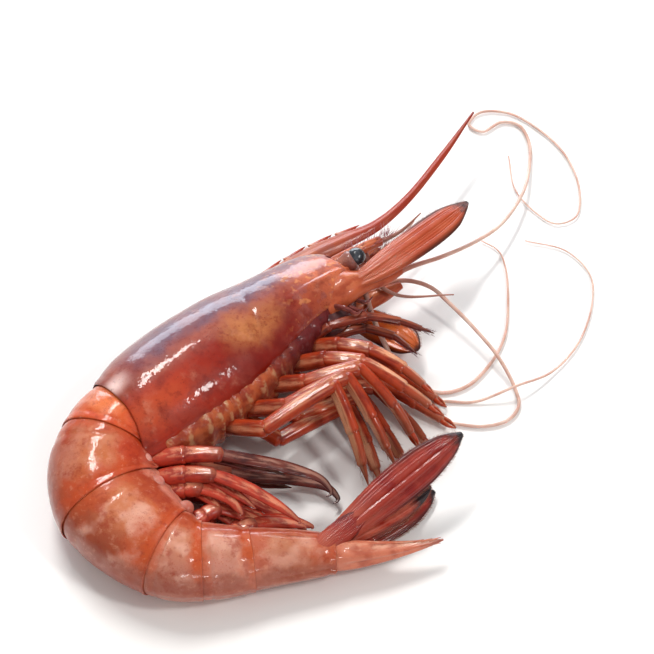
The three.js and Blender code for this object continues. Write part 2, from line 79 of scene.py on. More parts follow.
def hermite(a, b, slope_a, slope_b, t):
    """The cubic from a to b that leaves a and reaches b with the given slopes."""
    blend = t * t * (3 - 2 * t)
    return a + (b - a) * blend + t * (1 - t) * (slope_a * (1 - t) - slope_b * t)


def read(table, position):
    """The columns of a table of (position, value, ...) rows, on a smooth curve through its rows."""
    table = np.array(table, float)
    places, values = table[:, 0], table[:, 1:]
    rows = np.arange(len(table))
    lower, upper = np.maximum(rows - 1, 0), np.minimum(rows + 1, rows[-1])
    slopes = (values[upper] - values[lower]) / (places[upper] - places[lower])[:, None]
    position = np.clip(np.asarray(position, float), places[0], places[-1])
    after = np.clip(np.searchsorted(places, position, side="right"), 1, rows[-1])
    span = (places[after] - places[after - 1])[..., None]
    t = (position - places[after - 1])[..., None] / span
    found = hermite(values[after - 1], values[after], slopes[after - 1] * span, slopes[after] * span, t)
    return np.moveaxis(found, -1, 0)


def ease(value, start, end):
    """0 up to start and 1 from end on, with a smooth rise between them."""
    t = np.clip((value - start) / (end - start), 0, 1)
    return t * t * (3 - 2 * t)


def hump(value, centre, width):
    """A smooth bump that is 1 at the centre."""
    return np.exp(-((value - centre) / width) ** 2)


def unit(vectors):
    """Vectors made one long."""
    return vectors / np.maximum(np.linalg.norm(vectors, axis=-1, keepdims=True), 1e-12)


def turns(count):
    """Angles evenly round a circle."""
    return np.linspace(0, 2 * math.pi, count, endpoint=False)


def together(*parts):
    """Arrays of fitting shapes, side by side along a new last axis."""
    return np.stack(np.broadcast_arrays(*parts), -1)


def around(along, angle):
    """The three marks of points, by their place along a piece and the way round it."""
    return together(along, np.cos(angle), np.sin(angle))


def between(wanted, places, points):
    """Points on a line, at wanted places, from the places of the points that it goes through."""
    return np.stack([np.interp(wanted, places, points[:, axis]) for axis in range(3)], -1)


def ripples(points, size, seed):
    """A soft unevenness from -1 to 1 over points, with swells about as long as size."""
    draw = np.random.default_rng(SEED + seed)
    total = 0
    for _ in range(7):
        wave = unit(draw.normal(size=3)) * 2 * math.pi / (size * draw.uniform(0.7, 1.6))
        total = total + np.sin(points @ wave + draw.uniform(0, 2 * math.pi))
    return total / 7


def unevenness(points):
    """How far the shells swell and sink. Shells that overlap share it, so that none comes through."""
    return 0.09 * ripples(points, 7, 1) + 0.03 * ripples(points, 2.6, 2)


# ------------ meshes

MARKS = ("along", "up", "out")
RIM_CELLS = 3  # the narrow steps of a grid that make its rim round
WELD = 1e-7  # metres


class Skin:
    """Closed surfaces with three marks on each point and a finish for each face."""

    def __init__(self):
        self.points, self.marks, self.faces, self.finishes, self.count = [], [], [], [], 0

    def add(self, points, marks, faces, finish):
        points = np.asarray(points, float).reshape(-1, 3)
        self.points.append(points)
        self.marks.append(np.broadcast_to(marks, points.shape).reshape(-1, 3))
        self.faces += [[self.count + corner for corner in face] for face in faces]
        self.finishes += [finish] * len(faces)
        self.count += len(points)
        return self


def grid_faces(rows, columns, wrap):
    """The quads of a grid of points. With wrap, its last column is joined to its first."""
    index = np.arange(rows * columns).reshape(rows, columns)
    if wrap:
        index = np.hstack([index, index[:, :1]])
    corners = [index[:-1, :-1], index[:-1, 1:], index[1:, 1:], index[1:, :-1]]
    return np.stack(corners, -1).reshape(-1, 4).tolist()


def normals(points):
    """The unit normals of a grid of points."""
    return unit(np.cross(np.gradient(points, axis=0), np.gradient(points, axis=1)))


def loft(skin, points, marks, finish=0):
    """A closed body through rings of points, one ring a row, with a flat end on each."""
    rows, columns = points.shape[:2]
    ends = [list(range(columns)), list(range((rows - 1) * columns, rows * columns))]
    return skin.add(points, marks.reshape(-1, 3), grid_faces(rows, columns, True) + ends, finish)


def plate(skin, points, thickness, marks):
    """A thin body with a round rim, whose middle face is the given grid of points."""
    rows, columns = points.shape[:2]
    inward = [np.minimum(np.arange(count), np.arange(count)[::-1]) for count in (rows, columns)]
    depth = np.minimum(inward[0][:, None], inward[1][None, :])
    swell = np.sqrt(1 - (1 - np.minimum(depth / RIM_CELLS, 1)) ** 2)
    half = normals(points) * (thickness * swell / 2)[..., None]
    for face in (points + half, points - half):
        skin.add(face, marks.reshape(-1, 3), grid_faces(rows, columns, False), 0)


def shell(skin, points, axis, relief, thickness, marks):
    """A shell whose outer face is the given points, raised by relief away from the body's axis."""
    facing = normals(points)
    facing *= np.sign(((points - axis) * facing).sum(-1, keepdims=True))
    middle = points + facing * (relief + unevenness(points) - thickness / 2)[..., None]
    plate(skin, middle, thickness, marks)


def rimmed(start, end, count, rim):
    """Numbers from start to end, evenly spaced but for RIM_CELLS narrow steps at each end."""
    close = np.arange(RIM_CELLS) * (rim / RIM_CELLS)
    middle = np.linspace(start + rim, end - rim, count)
    return np.concatenate([start + close, middle, end - close[::-1]])


def link(name, data):
    """A new object in the scene."""
    thing = bpy.data.objects.new(name, data)
    bpy.context.scene.collection.objects.link(thing)
    return thing


def make(name, skin, finishes):
    """The object with a skin's surfaces and marks, set down in the frame."""
    points = np.vstack(skin.points) - [*FOOTPRINT_CENTRE, 0]
    points[:, 2] = np.maximum(points[:, 2], 0)
    mesh = bpy.data.meshes.new(name)
    mesh.from_pydata(points * MM, [], skin.faces)
    marks = np.vstack(skin.marks)
    for column, mark in enumerate(MARKS):
        mesh.attributes.new(mark, "FLOAT", "POINT").data.foreach_set("value", marks[:, column])
    mesh.polygons.foreach_set("material_index", skin.finishes)
    mesh.polygons.foreach_set("use_smooth", [True] * len(mesh.polygons))
    body = bmesh.new()
    body.from_mesh(mesh)
    bmesh.ops.remove_doubles(body, verts=body.verts, dist=WELD)
    bmesh.ops.recalc_face_normals(body, faces=body.faces)
    body.to_mesh(mesh)
    body.free()
    for finish in finishes:
        mesh.materials.append(finish)
    return link(name, mesh)


# ------------ limbs

LEVEL = None  # for a limb whose width lies level


def smooth_path(points, steps):
    """Evenly spaced points on the smooth curve through the given ones."""
    points = np.array(points, float)
    points = np.vstack([2 * points[0] - points[1], points, 2 * points[-1] - points[-2]])
    fine = []
    for a, b, c, d in zip(points, points[1:], points[2:], points[3:]):
        before, within, after = (np.linalg.norm(q - p) ** 0.5 for p, q in ((a, b), (b, c), (c, d)))
        leave = ((b - a) / before - (c - a) / (before + within) + (c - b) / within) * within
        reach = ((c - b) / within - (d - b) / (within + after) + (d - c) / after) * within
        t = np.linspace(0, 1, 24, endpoint=False)[:, None]
        fine.append(hermite(b, c, leave, reach, t))
    fine = np.vstack([*fine, points[-2:-1]])
    length = np.concatenate([[0], np.cumsum(np.linalg.norm(np.diff(fine, axis=0), axis=1))])
    return between(np.linspace(0, length[-1], steps + 1), length, fine)


def frames(path, flat):
    """Unit vectors along a path's width, which stays near flat, its thickness and its heading."""
    tangent = unit(np.gradient(path, axis=0))
    if flat is LEVEL:
        width = np.stack([-tangent[:, 1], tangent[:, 0], np.zeros(len(path))], -1)
    else:
        width = np.broadcast_to(np.array(flat, float), path.shape)
    width = unit(width - tangent * (width * tangent).sum(1, keepdims=True))
    return width, np.cross(tangent, width), tangent


def tube(skin, line, axes, halves, turn, outline, along, finish=0):
    """A closed tube round a line, with an outline drawn on two axes and widened by two halves."""
    rings = line[:, None]
    for axis, half, part in zip(axes, halves, outline):
        rings = rings + axis[:, None] * (half[:, None] * part)[..., None]
    return loft(skin, rings, around(along[:, None], turn), finish)


def limb(skin, path, form, flat=(0, 0, 1), sides=14, steps=60, joints=(), ridge=0.0, finish=0):
    """A tapering limb. Form rows are part of the length, half the width, half the thickness."""
    points = smooth_path(path, steps)
    along = np.linspace(0, 1, steps + 1)
    halves = read(form, along)
    for joint in joints:
        halves = halves * (1 + 0.22 * hump(along, joint - 0.018, 0.02)
                           - 0.25 * hump(along, joint + 0.008, 0.009))
    turn = turns(sides)
    outline = np.cos(turn), np.sin(turn) * (1 - ridge * np.abs(np.sin(turn)) ** 8)
    return tube(skin, points, frames(points, flat), halves, turn, outline, along, finish)


def ball(skin, centre, radius, finish, flat=1.0):
    """A round body, for joints and eyes. Flat squeezes it from above."""
    rows, turn = np.linspace(0.03, math.pi - 0.03, 20)[:, None], turns(28)[None, :]
    points = together(np.sin(rows) * np.cos(turn), np.sin(rows) * np.sin(turn), np.cos(rows) * flat)
    return loft(skin, np.asarray(centre) + points * radius, around(rows / math.pi, turn), finish)


BOW = 0.03  # how far a segment of a limb bends, as a part of its length


def segment(skin, start, end, sizes, flat, reach):
    """
    A hard, flattened segment of a limb with round ends. Sizes are half the width and half the
    thickness at its start, then at its end. Reach is its part of the whole limb's length.
    """
    t = np.linspace(0, 1, 34)
    length = np.linalg.norm(end - start)
    round_end = 0.5 * (sizes[0] + sizes[2]) / length
    along = -0.5 * round_end + t * (1 + round_end)
    line = start + (end - start) * along[:, None]
    axes = frames(line, flat)
    line = line + axes[1] * (BOW * length * np.sin(math.pi * t))[:, None]
    inward = np.minimum(1, np.minimum(t, 1 - t) / (0.55 * round_end))
    shape = np.sqrt(np.maximum(0.004, 1 - (1 - inward) ** 2)) \
        * (0.88 + 0.12 * np.sin(math.pi * t) ** 0.7 + 0.06 * hump(t, 0.90, 0.07))
    halves = [shape * (first + (last - first) * t) for first, last in zip(sizes[:2], sizes[2:])]
    turn = turns(28)
    cos, sin = (np.sign(part) * np.abs(part) ** 0.85 for part in (np.cos(turn), np.sin(turn)))
    outline = cos, sin * (1 - 0.16 * hump(cos, 0.1, 0.22))
    tube(skin, line, axes, halves, turn, outline, reach[0] + (reach[1] - reach[0]) * np.clip(along, 0, 1))


def jointed(skin, points, sizes, flat, joint_finish=2):
    """Hard segments from point to point, with a dark joint between each two of them."""
    points = np.array(points, float)
    reach = np.concatenate([[0], np.cumsum(np.linalg.norm(np.diff(points, axis=0), axis=1))])
    reach /= reach[-1]
    for number in range(len(points) - 1):
        segment(skin, *points[number:number + 2], sizes[number], flat, reach[number:number + 2])
        if number:
            ball(skin, points[number], 0.8 * min(sizes[number][1], sizes[number - 1][3]), joint_finish)


LEAF_STEPS = 200


def leaf(skin, path, form, flat, cup, ribs, rows=60, columns=28):
    """A leaf with raised ribs. Ribs are (place across, height). Form is as for a limb."""
    along, across = rimmed(0, 1, rows, 0.012), rimmed(-1, 1, columns, 0.09)
    points = between(along, np.linspace(0, 1, LEAF_STEPS + 1), smooth_path(path, LEAF_STEPS))
    width, lift, _ = frames(points, flat)
    half_width, half_thickness = read(form, along)
    raised = sum((height * hump(across, place, 0.11) for place, height in ribs), np.zeros(len(across)))
    height = raised * ease(1 - along, 0, 0.25)[:, None] - cup * across ** 2 * half_width[:, None]
    grid = (points[:, None] + width[:, None] * (half_width[:, None] * across)[..., None]
            + lift[:, None] * height[..., None])
    thickness = 1.5 * half_thickness[:, None] * (1 - 0.65 * across ** 2)
    plate(skin, grid, thickness, together(along[:, None], across, np.sign(across)))
    return grid


HAIR_SIDES = 3
HAIR_MARKS = (0.5, 0, 0)


def hairs(skin, roots, tips, radius, finish):
    """Fine tapered hairs from roots to tips."""
    heading = unit(tips - roots)
    side = unit(np.cross(heading, unit(np.array([0.31, 0.22, 0.93]))))
    other = np.cross(heading, side)
    steps = np.array([0, 0.5, 1])
    bow = np.linalg.norm(tips - roots, axis=1)[:, None, None] * 0.10 * (4 * steps * (1 - steps))[:, None]
    line = roots[:, None] + (tips - roots)[:, None] * steps[:, None] + side[:, None] * bow
    turn = np.arange(HAIR_SIDES) * 2 * math.pi / HAIR_SIDES
    thin = radius * (1 - 0.85 * steps)[:, None]
    rings = (line[:, :, None] + side[:, None, None] * (thin * np.cos(turn))[..., None]
             + other[:, None, None] * (thin * np.sin(turn))[..., None])
    one = grid_faces(len(steps), HAIR_SIDES, True)
    one += [list(range(HAIR_SIDES)), list(range(2 * HAIR_SIDES, 3 * HAIR_SIDES))]
    size = len(steps) * HAIR_SIDES
    faces = [[corner + number * size for corner in face] for number in range(len(roots)) for face in one]
    skin.add(rings, HAIR_MARKS, faces, finish)


def fringe(skin, edge, outward, count, length, radius, seed):
    """Hairs along an edge of points, pointing outward, each a little its own way."""
    draw = np.random.default_rng(SEED + seed)
    place = np.sort(draw.uniform(0, len(edge) - 1, count))
    roots, heading = (between(place, np.arange(len(edge)), rows) for rows in (edge, outward))
    heading = unit(unit(heading) + draw.normal(scale=0.12, size=roots.shape))
    taper = np.sin(math.pi * (0.12 + 0.76 * place / len(edge)))[:, None]
    reach = length * draw.uniform(0.65, 1.1, (count, 1)) * taper
    hairs(skin, roots - heading * 0.1, roots + heading * reach, radius, 1)


def leaf_fringe(skin, grid, column, slant, count, seed):
    """A fringe on the first or last column of a leaf's grid, which slants towards its tip."""
    edge, inner = grid[:, column], grid[:, 5 if column == 0 else -6]
    outward = unit(edge - inner) + slant * unit(np.gradient(edge, axis=0))
    fringe(skin, edge, outward, count, 0.45, 0.016, seed)


# ------------ the body's axis


def axis_at(behind, straight=False):
    """The axis at distances behind the joint: x, y and its heading towards the tail."""
    behind = np.asarray(behind, float)
    x, y, heading = (np.full(behind.shape, float(start)) for start in (*JOINT, HEAD_HEADING + math.pi))
    first = behind if straight else np.minimum(behind, 0)
    left = behind - first
    stretches = [(first, 0.0)]
    for length, turn, *_ in [*TAIL, TELSON]:
        part = np.clip(left, 0, length)
        stretches.append((part, math.radians(turn) / length))
        left = left - part
    stretches.append((left, 0.0))
    for part, bend in stretches:
        half = part * bend / 2
        chord = part * np.sinc(half / math.pi)
        x, y = x + chord * np.cos(heading + half), y + chord * np.sin(heading + half)
        heading = heading + 2 * half
    return x, y, heading


def body_point(behind, up, out, straight=False):
    """A point of the body, or an array of them."""
    x, y, heading = axis_at(behind, straight)
    height = read(MID_PLANE, behind)[0]
    return together(x + up * np.sin(heading), y - up * np.cos(heading), height + out)


def at(ahead, up, out):
    return body_point(-ahead, up, out).tolist()


def section(angle, top, under, half_width):
    """Up and out at angles round a section of the body, from 0 at the back to pi at the belly."""
    cos, sin = np.cos(angle), np.sin(angle)
    return (np.where(cos > 0, top, under) * cos,
            half_width * np.sign(sin) * np.abs(sin) ** FLANK_FULLNESS)


# ------------ head

# Rows: part of the length, then back, belly and flank as parts of the full sizes.
CARAPACE_FORM = [
    (-0.03, 0.785, 0.87, 0.885), (0.02, 0.86, 0.93, 0.95), (0.10, 0.95, 0.98, 0.99),
    (0.25, 1.0, 1.0, 1.0), (0.40, 0.99, 0.96, 0.98), (0.52, 0.95, 0.87, 0.94),
    (0.64, 0.87, 0.72, 0.88), (0.77, 0.80, 0.56, 0.78), (0.89, 0.73, 0.46, 0.64),
    (0.96, 0.60, 0.38, 0.52), (1.0, 0.40, 0.26, 0.36),
]
CARAPACE_OVERLAP = 0.03  # the part of its length by which the shell reaches over the first ring
CARAPACE_REAR_SLANT = 1.6
CARAPACE_RIM = math.radians(161)  # how far round the shell reaches from the back

# Rows: ahead of the joint, upper edge and lower edge above the axis, half the thickness.
BEAK_FORM = [
    (22, 6.4, 3.0, 1.5), (26, 6.8, 3.4, 1.4), (32, 6.5, 3.6, 1.1), (36, 5.7, 3.3, 0.8),
    (40.6, 4.5, 2.95, 0.6), (46, 4.9, 3.75, 0.5), (53.5, 7.0, 6.05, 0.36), (60.7, 9.25, 8.95, 0.12),
]
BEAK_TEETH = (26, 29.5, 33, 36.5)
BEAK_HAIRS = 46
# The outline of a tooth: steps ahead and how far it stands over the beak's edge there.
TOOTH = [(-0.5, -0.5), (0.0, -0.35), (1.0, 0.0), (1.9, 0.22), (2.6, 0.34)]


def head_section(along, angle, scale=1.0):
    top, under, flank = read(CARAPACE_FORM, along)
    up, out = section(angle, HEAD_TOP * top * scale, HEAD_UNDER * under * scale,
                      HEAD_HALF_WIDTH * flank * scale)
    slant = CARAPACE_REAR_SLANT * np.maximum(0, 1 - along * 6) * np.maximum(0, -np.cos(angle)) ** 2
    return body_point(slant - along * HEAD_LENGTH, up, out, straight=True)


def head_axis(along):
    return body_point(-along * HEAD_LENGTH, 0, 0, straight=True)


def carapace():
    skin = Skin()
    angle = rimmed(-CARAPACE_RIM, CARAPACE_RIM, 132, 0.05)[None, :]
    turned = np.abs(angle)
    # The front edge: drawn back over the eye, out to a point beside it, then back to the corner.
    front = 1.0 - 0.035 * hump(turned, 1.0, 0.28) + 0.02 * hump(turned, 1.62, 0.12) \
        - 0.15 * ease(turned, 1.85, 2.8)
    along = rimmed(0, 1, 120, 0.008)[:, None] * (front + CARAPACE_OVERLAP) - CARAPACE_OVERLAP
    ridge = 0.30 * hump(angle, 0, 0.10) * ease(along, 0.35, 0.7)
    groove_at = 0.60 + 0.05 * np.cos(angle * 1.6) - 0.05 * ease(turned, 1.6, 2.3)
    groove = -0.14 * hump(along, groove_at, 0.014) * ease(turned, 0.5, 1.0) * ease(-turned, -2.45, -2.0)
    keel = 0.16 * hump(turned, 1.95 - 0.25 * along, 0.07) * ease(along, 0.62, 0.8)
    rear_lip = 0.05 * hump(along, -0.018, 0.008) - 0.05 * hump(along, 0.006, 0.012)
    low_lip = 0.12 * hump(turned, CARAPACE_RIM - 0.05, 0.035) \
        - 0.10 * hump(turned, CARAPACE_RIM - 0.15, 0.05)
    rim = np.minimum((along + CARAPACE_OVERLAP) * 8, (CARAPACE_RIM - turned) * 1.5)
    thickness = 0.16 + 0.8 * ease(np.minimum(rim, (front - along) * 8), 0.0, 1.0)
    shell(skin, head_section(along, angle), head_axis(along), ridge + groove + keel + rear_lip + low_lip,
          thickness, around(along, angle))
    beak(skin)
    return skin


def beak(skin):
    """The long beak with its teeth and hairs, added to the skin of the head shell."""
    first, last = BEAK_FORM[0][0], BEAK_FORM[-1][0]
    ahead = np.linspace(first, last, 110)
    top, under, half = read(BEAK_FORM, ahead)
    turn = turns(20)
    cos = np.cos(turn)
    flank = half[:, None] * np.sin(turn) * (0.62 + 0.38 * hump(cos, -0.15, 0.35) - 0.25 * hump(cos, 0.5, 0.2))
    up = ((top + under) / 2)[:, None] + ((top - under) / 2)[:, None] * cos
    marks = around(((ahead - first) / (last - first))[:, None], turn)
    loft(skin, body_point(-ahead[:, None], up, flank), marks, finish=1)
    for place in BEAK_TEETH:
        path = [at(place + step, read(BEAK_FORM, place + step)[0] + rise, 0) for step, rise in TOOTH]
        form = [(0, 0.26, 0.9), (0.4, 0.2, 0.45), (0.8, 0.11, 0.18), (1, 0.03, 0.04)]
        limb(skin, path, form, sides=8, steps=14, finish=1)
    draw = np.random.default_rng(SEED + 3)
    ahead = draw.uniform(25, 38, BEAK_HAIRS)
    top = read(BEAK_FORM, ahead)[0]
    out = draw.normal(scale=0.15, size=BEAK_HAIRS)
    reach = draw.uniform(0.5, 1.0, BEAK_HAIRS)
    tips = body_point(-ahead - reach, top + 0.5 * reach, out * 2)
    hairs(skin, body_point(-ahead, top - 0.1, out), tips, 0.035, 2)


RIB_PITCH = 1.7  # of the ribs on the strip of leg bases
RIB_DRIFT = (23, 1.6)  # how their pitch varies: waves along the head, and how far in radians


def breast():
    """The flesh inside the carapace, and the row of leg bases under its edge."""
    skin = Skin()
    along, angle = np.linspace(-0.02, 0.985, 120)[:, None], turns(96)[None, :]
    points = head_section(along, angle, 0.93)
    low = ease(-np.cos(angle), 0.80, 0.97) * ease(along, 0.0, 0.06) * ease(-along, -0.9, -0.75)
    phase = 2 * math.pi * along * HEAD_LENGTH / RIB_PITCH + RIB_DRIFT[1] * np.sin(RIB_DRIFT[0] * along)
    bases = 0.5 + 0.5 * np.sin(phase)
    fine = 0.5 + 0.5 * np.cos(2 * phase + 3 * np.cos(angle * 3))
    out = unit(points - head_axis(along))
    points = points + out * (low * (0.80 + 0.30 * bases + 0.08 * fine))[..., None]
    loft(skin, points, around(along, angle))
    # A beard of dark hairs under the front half of the shell's edge.
    for place, side in ((2.62, 1), (2.74, 1), (2.86, 1), (2.86, -1)):
        edge_along = np.linspace(0.42, 0.86, 60)
        edge = head_section(edge_along, side * place + 0 * edge_along, 0.97)
        ahead = head_section(edge_along + 0.06, side * (place + 0.16) + 0 * edge_along, 1.06)
        fringe(skin, edge, ahead - edge, 90, 1.9, 0.045, 5 + int(10 * place) + side)
    return skin


def eye(side):
    """The dark globe of the eye, at the end of its stalk."""
    centre = body_point(-EYE["ahead"] - 0.1, EYE["up"], side * EYE["out"])
    return ball(Skin(), centre, EYE["radius"], 0, 0.84)


def eyestalk(side):
    """The stalk of the eye, which widens into a shallow cup behind it."""
    path = [at(29.8, 1.3, side * 0.9), at(32.2, 0.9, side * 1.6),
            at(EYE["ahead"] - 0.2, EYE["up"], side * 2.6)]
    form = [(0, 0.8, 0.8), (0.4, 0.85, 0.8), (0.7, 1.1, 1.0), (0.88, 1.3, 1.12), (0.96, 1.24, 1.06),
            (1, 1.0, 0.9)]
    return limb(Skin(), path, form, BACK, sides=28, steps=44)


MOUTH_FORM = [(24.8, 4.8, 2.0), (26.3, 6.0, 2.8), (28.3, 6.1, 2.9), (30.3, 5.2, 2.4), (31.6, 3.8, 1.4)]


def mouthparts():
    """The dark clump of jaws under the head, with the small curved feelers round it."""
    skin = Skin()
    first, last = MOUTH_FORM[0][0], MOUTH_FORM[-1][0]
    ahead, angle = np.linspace(first, last, 36)[:, None], turns(48)[None, :]
    under, half_width = read(MOUTH_FORM, ahead)
    points = body_point(-ahead, *section(angle, 0.5, under * 0.9, half_width * 0.9))
    points[..., 2] += 0.25 * ripples(points, 1.6, 5)
    loft(skin, points, around((ahead - first) / (last - first), angle))
    draw = np.random.default_rng(SEED + 4)
    for number in range(9):
        start, side = 25.6 + 0.62 * number, draw.uniform(-0.6, 1.0)
        depth = read(MOUTH_FORM, start)[0]
        bend = draw.uniform(0.8, 1.5)
        path = [at(start, -depth * 0.55, 2.4 * side), at(start + 0.5, -depth * 0.8, 2.9 * side + 0.3),
                at(start + 1.2, -depth * 0.97 - 0.2 * bend, 2.5 * side + 0.4),
                at(start + 2.0 + 0.4 * bend, -depth * 0.94, 2.1 * side + 0.2)]
        limb(skin, path, [(0, 0.42, 0.3), (0.5, 0.36, 0.26), (1, 0.08, 0.06)], sides=10, steps=24,
             joints=(0.35, 0.65), finish=1)
    return skin


# ------------ feelers

SCALES = {
    "right": [at(31, -2.6, 2.7), at(36, -3.0, 3.3), at(44, -2.8, 3.2), at(50, -2.2, 2.7)],
    "left": [at(30.6, -2.4, -2.4), at(32.3, -5.2, -3.1), at(33.6, -8.6, -3.1), at(34.2, -12, -2.8)],
}
SPLAYED = (0.77, 0.6, 0.2)  # the direction across the left scale, which is turned aside
SCALE_FORM = [(0, 0.7, 0.45), (0.25, 1.7, 0.5), (0.6, 2.1, 0.45), (0.82, 1.8, 0.35), (0.95, 0.8, 0.2),
              (1, 0.2, 0.1)]

LYING = 0.4  # the height of a feeler that lies on the surface, where a path gives no height
OVER = 1.7  # and where it lies on another one
ANTENNAE = {
    "right": [
        at(35, -3.7, 1.6), [10.9, 9.7, 7.0], [14.6, 11.9, 6.0], [18.8, 15.3, 4.4], [22.2, 19.1, 3.0],
        [24.9, 24.5, 1.9], [25.9, 29.3, 0.8], [26.0, 33.5], [24.8, 36.2], [22.7, 36.7], [20.2, 35.2],
        [18.6, 36.3], [20.0, 38.2], [23.6, 38.1], [27.7, 35.1], [30.5, 31.4], [32.0, 26.2], [31.4, 22.0],
        [28.9, 21.0], [26.5, 22.7], [24.1, 26.2], [23.4, 31.4],
    ],
    "left": [
        at(33, -2.4, -1.5), [7.5, 9.0, 4.3], [10.5, 9.7, 4.2], [13.4, 8.9, 3.9], [15.6, 7.0, 3.3],
        [18.6, 3.9, 2.4], [21.4, 0.2, OVER], [23.3, -3.5, 0.6], [23.7, -5.9], [22.4, -7.9], [19.6, -8.8],
        [16.4, -8.5], [13.4, -7.7], [12.2, -6.3], [14.2, -5.3], [18.5, -5.3], [23.4, -3.9, OVER],
        [27.8, -1.1, 0.6], [31.2, 3.4], [33.0, 9.3], [32.8, 13.4], [30.0, 16.9], [25.1, 18.4],
    ],
}
ANTENNULES = {
    "right": [
        [at(38, 1.1, 1.1), at(42, 0.7, 0.9), at(45.6, 1.3, 0.7)],
        [at(36.5, 0.9, 0.9), [6.9, 8.3, 5.8], [9.5, 6.6, 5.5], [16.1, 6.7, 5.5]],
    ],
    "left": [
        [at(38, 1.1, -1.1), at(42, 1.0, -1.1), at(45, 1.8, -0.9)],
        [at(34.5, 0.2, -1.2), [5.6, 7.2, 4.7], [6.3, 4.4, 4.6], [7.6, 1.4, 3.6], [10.5, -2.9, 1.2],
         [14.5, -4.0], [17.7, -3.0], [20.6, 0.4], [22.3, 4.3], [22.8, 9.3], [22.6, 14.4], [21.8, 16.9],
         [19.8, 18.4]],
    ],
}
BRISTLES = 90  # on the foot of each small feeler


def thread(skin, path, form, steps):
    """The thread of a feeler. A place without a height lies on the surface."""
    path = [place if len(place) == 3 else [*place, LYING] for place in path]
    limb(skin, path, [(part, half, half) for part, half in form], sides=10, steps=steps, finish=1)


def antennal_scale(name):
    """The leaf beside the foot of a feeler, with a fringe along its inner edge."""
    skin = Skin()
    grid = leaf(skin, SCALES[name], SCALE_FORM, SPLAYED if name == "left" else BACK, 0.10,
                [(-0.75, 0.22), (0.1, 0.16), (0.5, 0.08)])
    leaf_fringe(skin, grid[20:-3], -1, 0.9, 260, 11)
    return skin


def antenna(name, side):
    skin = Skin()
    foot = [at(ahead, up, side * out) for ahead, up, out in
            ((27.6, -1.5, 1.7), (30.6, -2.0, 2.2), (33.2, -2.8, 2.1), (35.4, -3.6, 1.7), (38.0, -4.1, 1.5))]
    form = [(0, 2.5, 1.4), (0.3, 2.3, 1.5), (0.5, 1.6, 1.2), (0.62, 1.25, 1.05), (0.8, 0.95, 0.9),
            (1, 0.45, 0.45)]
    limb(skin, foot, form, BACK, sides=32, steps=60)
    thread(skin, ANTENNAE[name], [(0, 0.42), (0.1, 0.27), (0.5, 0.19), (1, 0.08)], 520)
    return skin


def antennule(name, side):
    skin = Skin()
    foot = [at(31.6, 1.9, side * 1.2), at(35.5, 1.6, side * 1.2), at(39, 1.1, side * 1.1)]
    jointed(skin, foot, [(0.95, 0.9, 0.85, 0.8), (0.75, 0.7, 0.6, 0.55)], BACK, joint_finish=3)
    for path, steps in zip(ANTENNULES[name], (60, 220)):
        thread(skin, path, [(0, 0.36), (0.5, 0.22), (1, 0.08)], steps)
    draw = np.random.default_rng(SEED + 20 + side)
    ahead, turn = draw.uniform(34, 40.5, BRISTLES), draw.uniform(-0.6, 2.2, BRISTLES)
    up, out = 1.7 - 0.14 * (ahead - 33.5), side * 1.15
    reach = draw.uniform(0.7, 1.7, BRISTLES)
    roots = body_point(-ahead, up + 0.5 * np.sin(turn), out + 0.5 * np.cos(turn))
    tips = body_point(-ahead - 0.8 * reach, up + (0.5 + reach) * np.sin(turn),
                      out + (0.5 + 0.6 * reach) * np.cos(turn))
    hairs(skin, roots, tips, 0.04, 2)
    return skin


# ------------ legs

JAW_LEGS = {
    "right": [[-2.0, -1.1, 5.5], [1.2, 0.6, 7.6], [5.6, 2.2, 7.4], [9.6, 2.0, 6.6], [13.6, 1.0, 5.6]],
    "left": [[-2.0, -0.6, 4.8], [1.8, 0.9, 5.2], [5.4, 2.0, 5.3], [8.8, 1.0, 5.0], [11.6, -1.2, 4.4]],
}
LEGS = [
    [[-0.8, -0.9, 5.5], [2.4, -2.1, 7.6], [6.0, -3.1, 8.0], [9.9, -5.2, 7.2], [13.5, -8.1, 6.2]],
    [[-3.2, -3.5, 5.5], [0.8, -4.6, 8.4], [5.1, -5.5, 9.0], [9.9, -8.1, 7.6], [14.6, -11.1, 6.0]],
    [[-6.0, -6.4, 5.5], [-1.6, -7.9, 8.4], [4.7, -6.4, 9.2], [8.7, -10.4, 7.2], [11.8, -14.4, 4.0]],
    [[-8.7, -9.8, 5.5], [-3.9, -11.5, 8.6], [3.2, -7.8, 9.4], [6.1, -12.2, 7.2], [8.9, -16.8, 4.0]],
    [[-11.1, -12.2, 5.5], [-6.3, -14.6, 8.6], [1.6, -9.0, 9.6], [3.9, -13.8, 6.8], [5.7, -18.9, 3.4]],
]
# Half the width and thickness of each segment at its start and at its end.
LEG_SIZES = [(1.0, 0.9, 1.05, 0.9), (0.98, 0.82, 1.05, 0.8), (0.98, 0.70, 0.98, 0.68),
             (0.88, 0.60, 0.70, 0.48), (0.56, 0.40, 0.08, 0.07)]
FINGER_FORM = [(0, 0.28, 0.36), (0.5, 0.22, 0.28), (1, 0.04, 0.05)]
PALM = 0.62  # the part of a leg's last stretch that its last but one segment takes
LEFT_LEG = {"shift": (1.6, 1.9), "heights": (4.6, 3.4, 2.4, 1.4, 0.6)}


def path_on(name, path, left):
    """The path of the right limb itself, or the one of the left limb that lies under it."""
    if name == "right":
        return path
    x_shift, y_shift = left["shift"]
    return [[x + x_shift, y + y_shift, height] for (x, y, _), height in zip(path, left["heights"])]


def sideways(heading):
    """The direction across a heading that lies nearest to the head's back."""
    return unit(np.cross(heading, np.cross(BACK, heading)))


